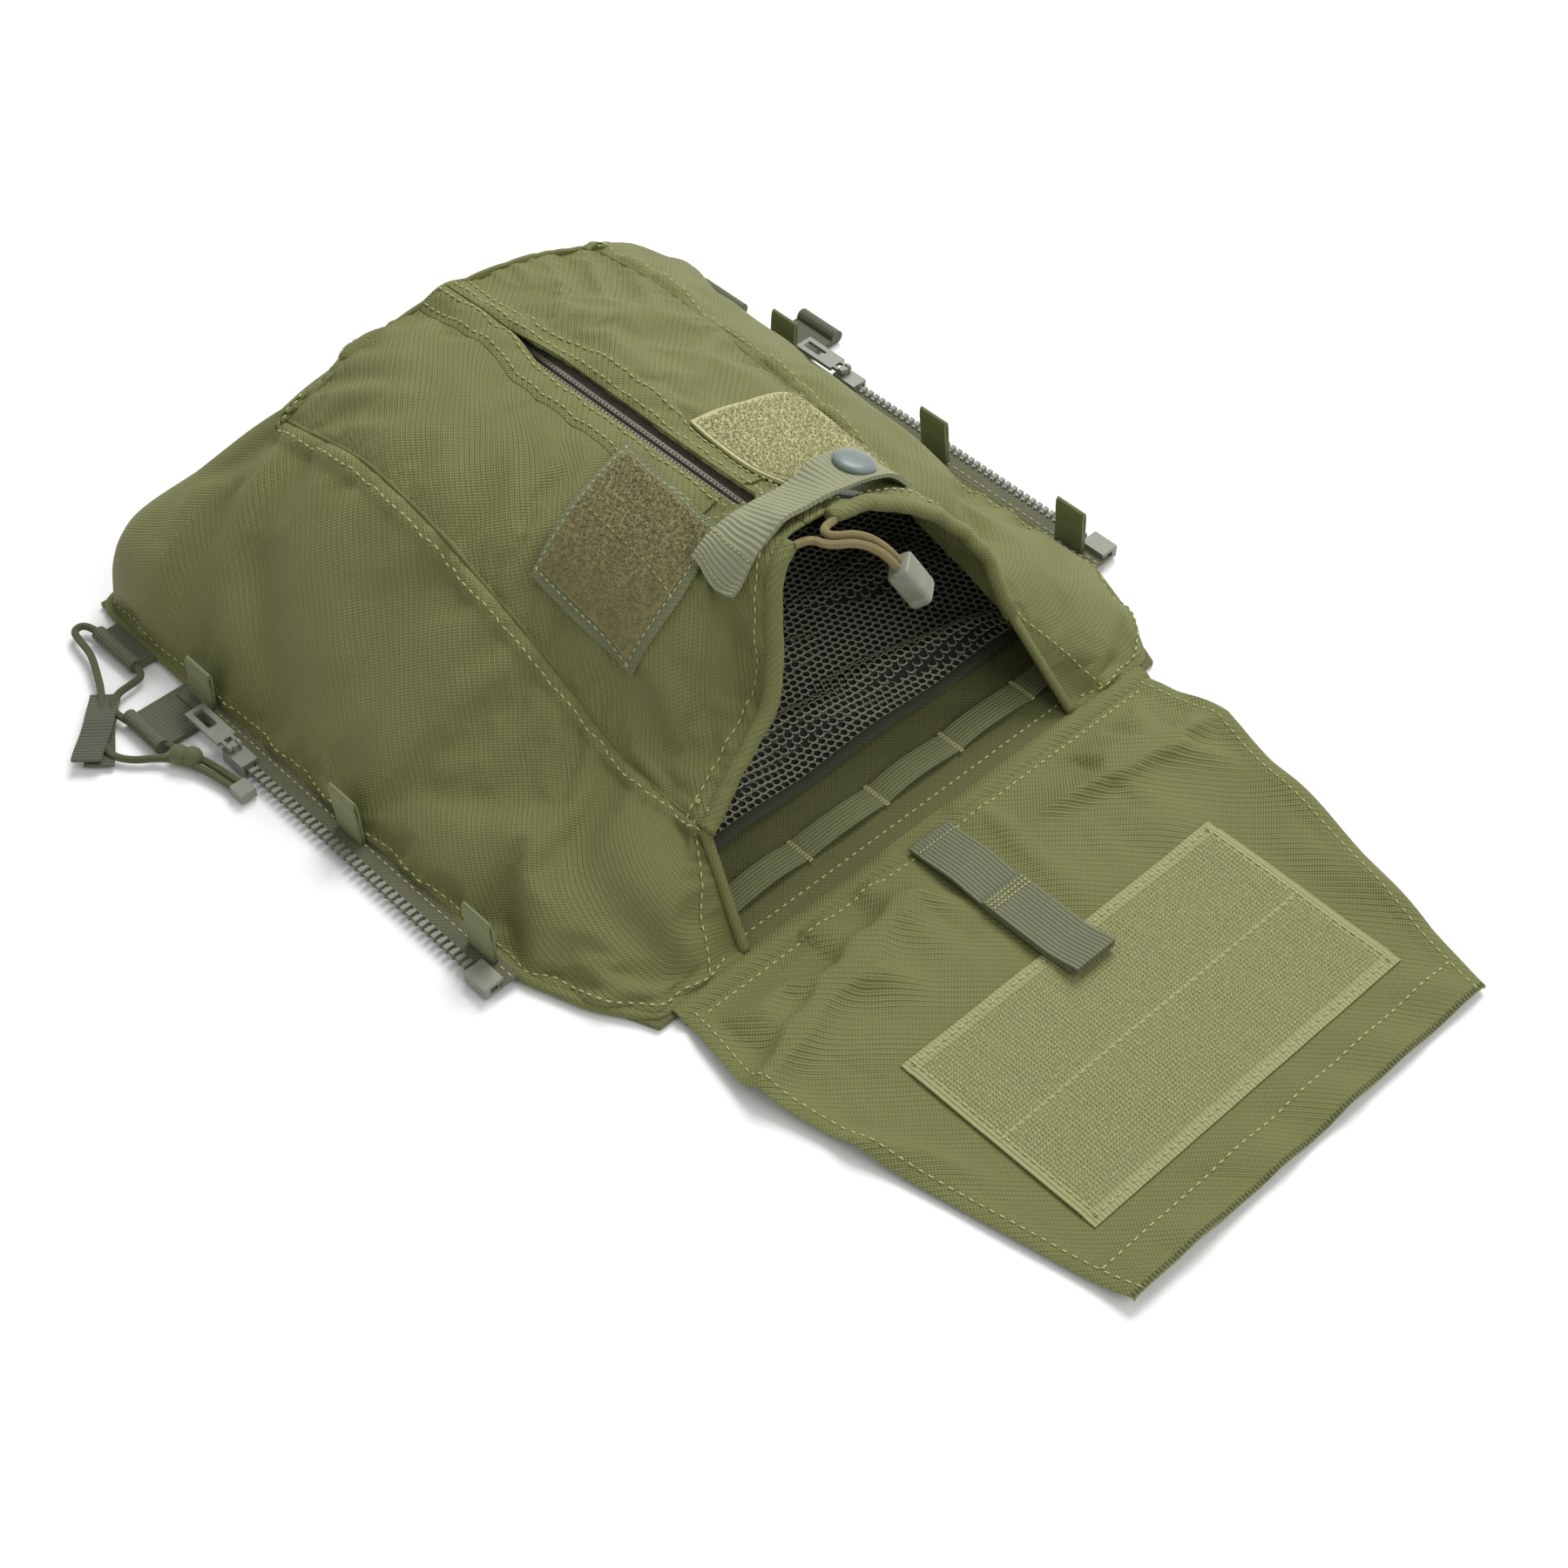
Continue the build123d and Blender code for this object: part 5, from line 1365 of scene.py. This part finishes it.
def make_stage(look):
    """Floor, soft lights and the camera."""
    size, low = 6.0, -0.0006
    corners = [(-size, -size, low), (size, -size, low), (size, size, low), (-size, size, low)]
    mesh = bpy.data.meshes.new("floor")
    mesh.from_pydata(corners, [], [(0, 1, 2, 3)])
    floor = link("floor", mesh)
    paint = Paint("floor_paper", (0.93, 0.93, 0.925), 0.9)
    floor.data.materials.append(paint.material)
    world = bpy.data.worlds.new("soft_room")
    world.use_nodes = True
    world.node_tree.nodes["Background"].inputs["Color"].default_value = (1, 1, 1, 1)
    world.node_tree.nodes["Background"].inputs["Strength"].default_value = look.room_light
    bpy.context.scene.world = world
    bpy.context.scene.view_settings.view_transform = "Standard"
    for name, place, width, power in (
        ("key", (1.5, 0.7, 2.3), 1.5, look.key_light),
        ("fill", (0.5, -2.0, 2.0), 1.8, look.key_light * 0.32),
        ("near", (-1.9, -0.2, 1.7), 1.6, look.key_light * 0.03),
    ):
        lamp = bpy.data.lights.new(name, "AREA")
        lamp.energy, lamp.size = power, width
        piece = bpy.data.objects.new(name, lamp)
        bpy.context.scene.collection.objects.link(piece)
        piece.location = place
        piece.rotation_mode = "QUATERNION"
        piece.rotation_quaternion = (Vector((0, -0.05, 0.03)) - Vector(place)).to_track_quat("-Z", "Y")
    camera = bpy.data.cameras.new("camera")
    camera.lens, camera.sensor_width = 61.48, 36
    piece = bpy.data.objects.new("camera", camera)
    bpy.context.scene.collection.objects.link(piece)
    piece.location = (-0.4517, -0.550, 0.700)
    piece.rotation_mode = "QUATERNION"
    piece.rotation_quaternion = Vector((0.4609, 0.4855, -0.7429)).to_track_quat("-Z", "Y")
    bpy.context.scene.camera = piece


# ---------------------------------------------------------------- settings, operators and panel
class PackLook(bpy.types.PropertyGroup):
    """Colours and light that a user would change."""

    cloth_colour: bpy.props.FloatVectorProperty(
        name="Cloth colour", description="Colour of the body cloth", subtype="COLOR", size=3,
        min=0, max=1, default=(0.166, 0.175, 0.051))
    thread_colour: bpy.props.FloatVectorProperty(
        name="Thread colour", description="Colour of the sewing thread", subtype="COLOR", size=3,
        min=0, max=1, default=(0.42, 0.43, 0.18))
    webbing_colour: bpy.props.FloatVectorProperty(
        name="Webbing colour", description="Colour of the straps", subtype="COLOR", size=3,
        min=0, max=1, default=(0.25, 0.26, 0.155))
    room_light: bpy.props.FloatProperty(
        name="Room light", description="Strength of the even light all round", min=0, default=0.47)
    key_light: bpy.props.FloatProperty(
        name="Main light", description="Power of the main soft light", subtype="POWER", unit="POWER",
        min=0, default=67.0)


STEPS = []


def step(cls):
    """Keeps an operator in the order in which the pack is built."""
    STEPS.append(cls)
    return cls


@step
class PACK_OT_materials(bpy.types.Operator):
    """Make the cloth, webbing, cord, plastic and metal finishes and the repeating trees"""

    bl_idname = "pack.materials"
    bl_label = "Finishes"

    def execute(self, context):
        make_materials(context.scene)
        TREES.update(stitch=stitch_tree(), bristle=scatter_tree(), net=net_tree())
        return {"FINISHED"}


@step
class PACK_OT_front(bpy.types.Operator):
    """Make both halves of the pouch's front and the flies of its zip"""

    bl_idname = "pack.front"
    bl_label = "Front"

    def execute(self, context):
        make_front()
        return {"FINISHED"}


@step
class PACK_OT_gusset(bpy.types.Operator):
    """Make the gusset round the pouch, its seam and the turned edge on the floor"""

    bl_idname = "pack.gusset"
    bl_label = "Gusset"

    def execute(self, context):
        make_gusset()
        return {"FINISHED"}


@step
class PACK_OT_hem(bpy.types.Operator):
    """Make the rolled hem round the mouth"""

    bl_idname = "pack.hem"
    bl_label = "Mouth hem"

    def execute(self, context):
        make_hem()
        return {"FINISHED"}


@step
class PACK_OT_inside(bpy.types.Operator):
    """Make the back panel's cloth, the net pocket and the webbing inside the mouth"""

    bl_idname = "pack.inside"
    bl_label = "Inside"

    def execute(self, context):
        make_inside()
        return {"FINISHED"}


@step
class PACK_OT_patches(bpy.types.Operator):
    """Make the two loop patches on the front"""

    bl_idname = "pack.patches"
    bl_label = "Loop patches"

    def execute(self, context):
        make_patches()
        return {"FINISHED"}


@step
class PACK_OT_front_zip(bpy.types.Operator):
    """Finish the zip between the flies"""

    bl_idname = "pack.front_zip"
    bl_label = "Front zip"

    def execute(self, context):
        make_front_zip()
        return {"FINISHED"}


@step
class PACK_OT_side_zips(bpy.types.Operator):
    """Make the side zips' teeth and finish their tapes, boxes, sliders and pulls"""

    bl_idname = "pack.side_zips"
    bl_label = "Side zips"

    def execute(self, context):
        make_side_zips()
        return {"FINISHED"}


@step
class PACK_OT_side_loops(bpy.types.Operator):
    """Make the upright loops along the side seams"""

    bl_idname = "pack.side_loops"
    bl_label = "Side loops"

    def execute(self, context):
        make_side_loops()
        return {"FINISHED"}


@step
class PACK_OT_snap_strap(bpy.types.Operator):
    """Make the webbing strap with its snap over the mouth"""

    bl_idname = "pack.snap_strap"
    bl_label = "Snap strap"

    def execute(self, context):
        make_snap_strap()
        return {"FINISHED"}


@step
class PACK_OT_lid(bpy.types.Operator):
    """Make the open lid with its hems and its seam"""

    bl_idname = "pack.lid"
    bl_label = "Lid"

    def execute(self, context):
        make_lid()
        return {"FINISHED"}


@step
class PACK_OT_hook_patch(bpy.types.Operator):
    """Make the hook tape on the lid"""

    bl_idname = "pack.hook_patch"
    bl_label = "Hook tape"

    def execute(self, context):
        make_hook_patch()
        return {"FINISHED"}


@step
class PACK_OT_hang_strap(bpy.types.Operator):
    """Make the doubled strap sewn into the lid's seam"""

    bl_idname = "pack.hang_strap"
    bl_label = "Hang strap"

    def execute(self, context):
        make_hang_strap()
        return {"FINISHED"}


@step
class PACK_OT_drawcord(bpy.types.Operator):
    """Make the drawcord's free strands and finish the end that clasps them"""

    bl_idname = "pack.drawcord"
    bl_label = "Drawcord"

    def execute(self, context):
        make_drawcord()
        return {"FINISHED"}


@step
class PACK_OT_corner(bpy.types.Operator):
    """Make the shock cord, its tab and the webbing stubs at the bottom corner"""

    bl_idname = "pack.corner"
    bl_label = "Corner cord"

    def execute(self, context):
        make_corner()
        return {"FINISHED"}


@step
class PACK_OT_stage(bpy.types.Operator):
    """Make the floor, the lights and the camera"""

    bl_idname = "pack.stage"
    bl_label = "Stage"

    def execute(self, context):
        make_stage(context.scene.pack_look)
        return {"FINISHED"}


class PACK_PT_panel(bpy.types.Panel):
    """Lists the pack's pieces and its colours"""

    bl_idname = "PACK_PT_panel"
    bl_label = "Pack panel"
    bl_space_type = "VIEW_3D"
    bl_region_type = "UI"
    bl_category = "Pack"

    def draw(self, context):
        for name in PackLook.__annotations__:
            self.layout.prop(context.scene.pack_look, name)
        for operator in STEPS:
            self.layout.operator(operator.bl_idname)


def register():
    for cls in (PackLook, *STEPS, PACK_PT_panel):
        bpy.utils.register_class(cls)
    bpy.types.Scene.pack_look = bpy.props.PointerProperty(type=PackLook)


def unregister():
    del bpy.types.Scene.pack_look
    for cls in (PACK_PT_panel, *reversed(STEPS), PackLook):
        bpy.utils.unregister_class(cls)


def main():
    register()
    for operator in STEPS:
        family, name = operator.bl_idname.split(".")
        getattr(getattr(bpy.ops, family), name)()


if __name__ == "__main__":
    main()
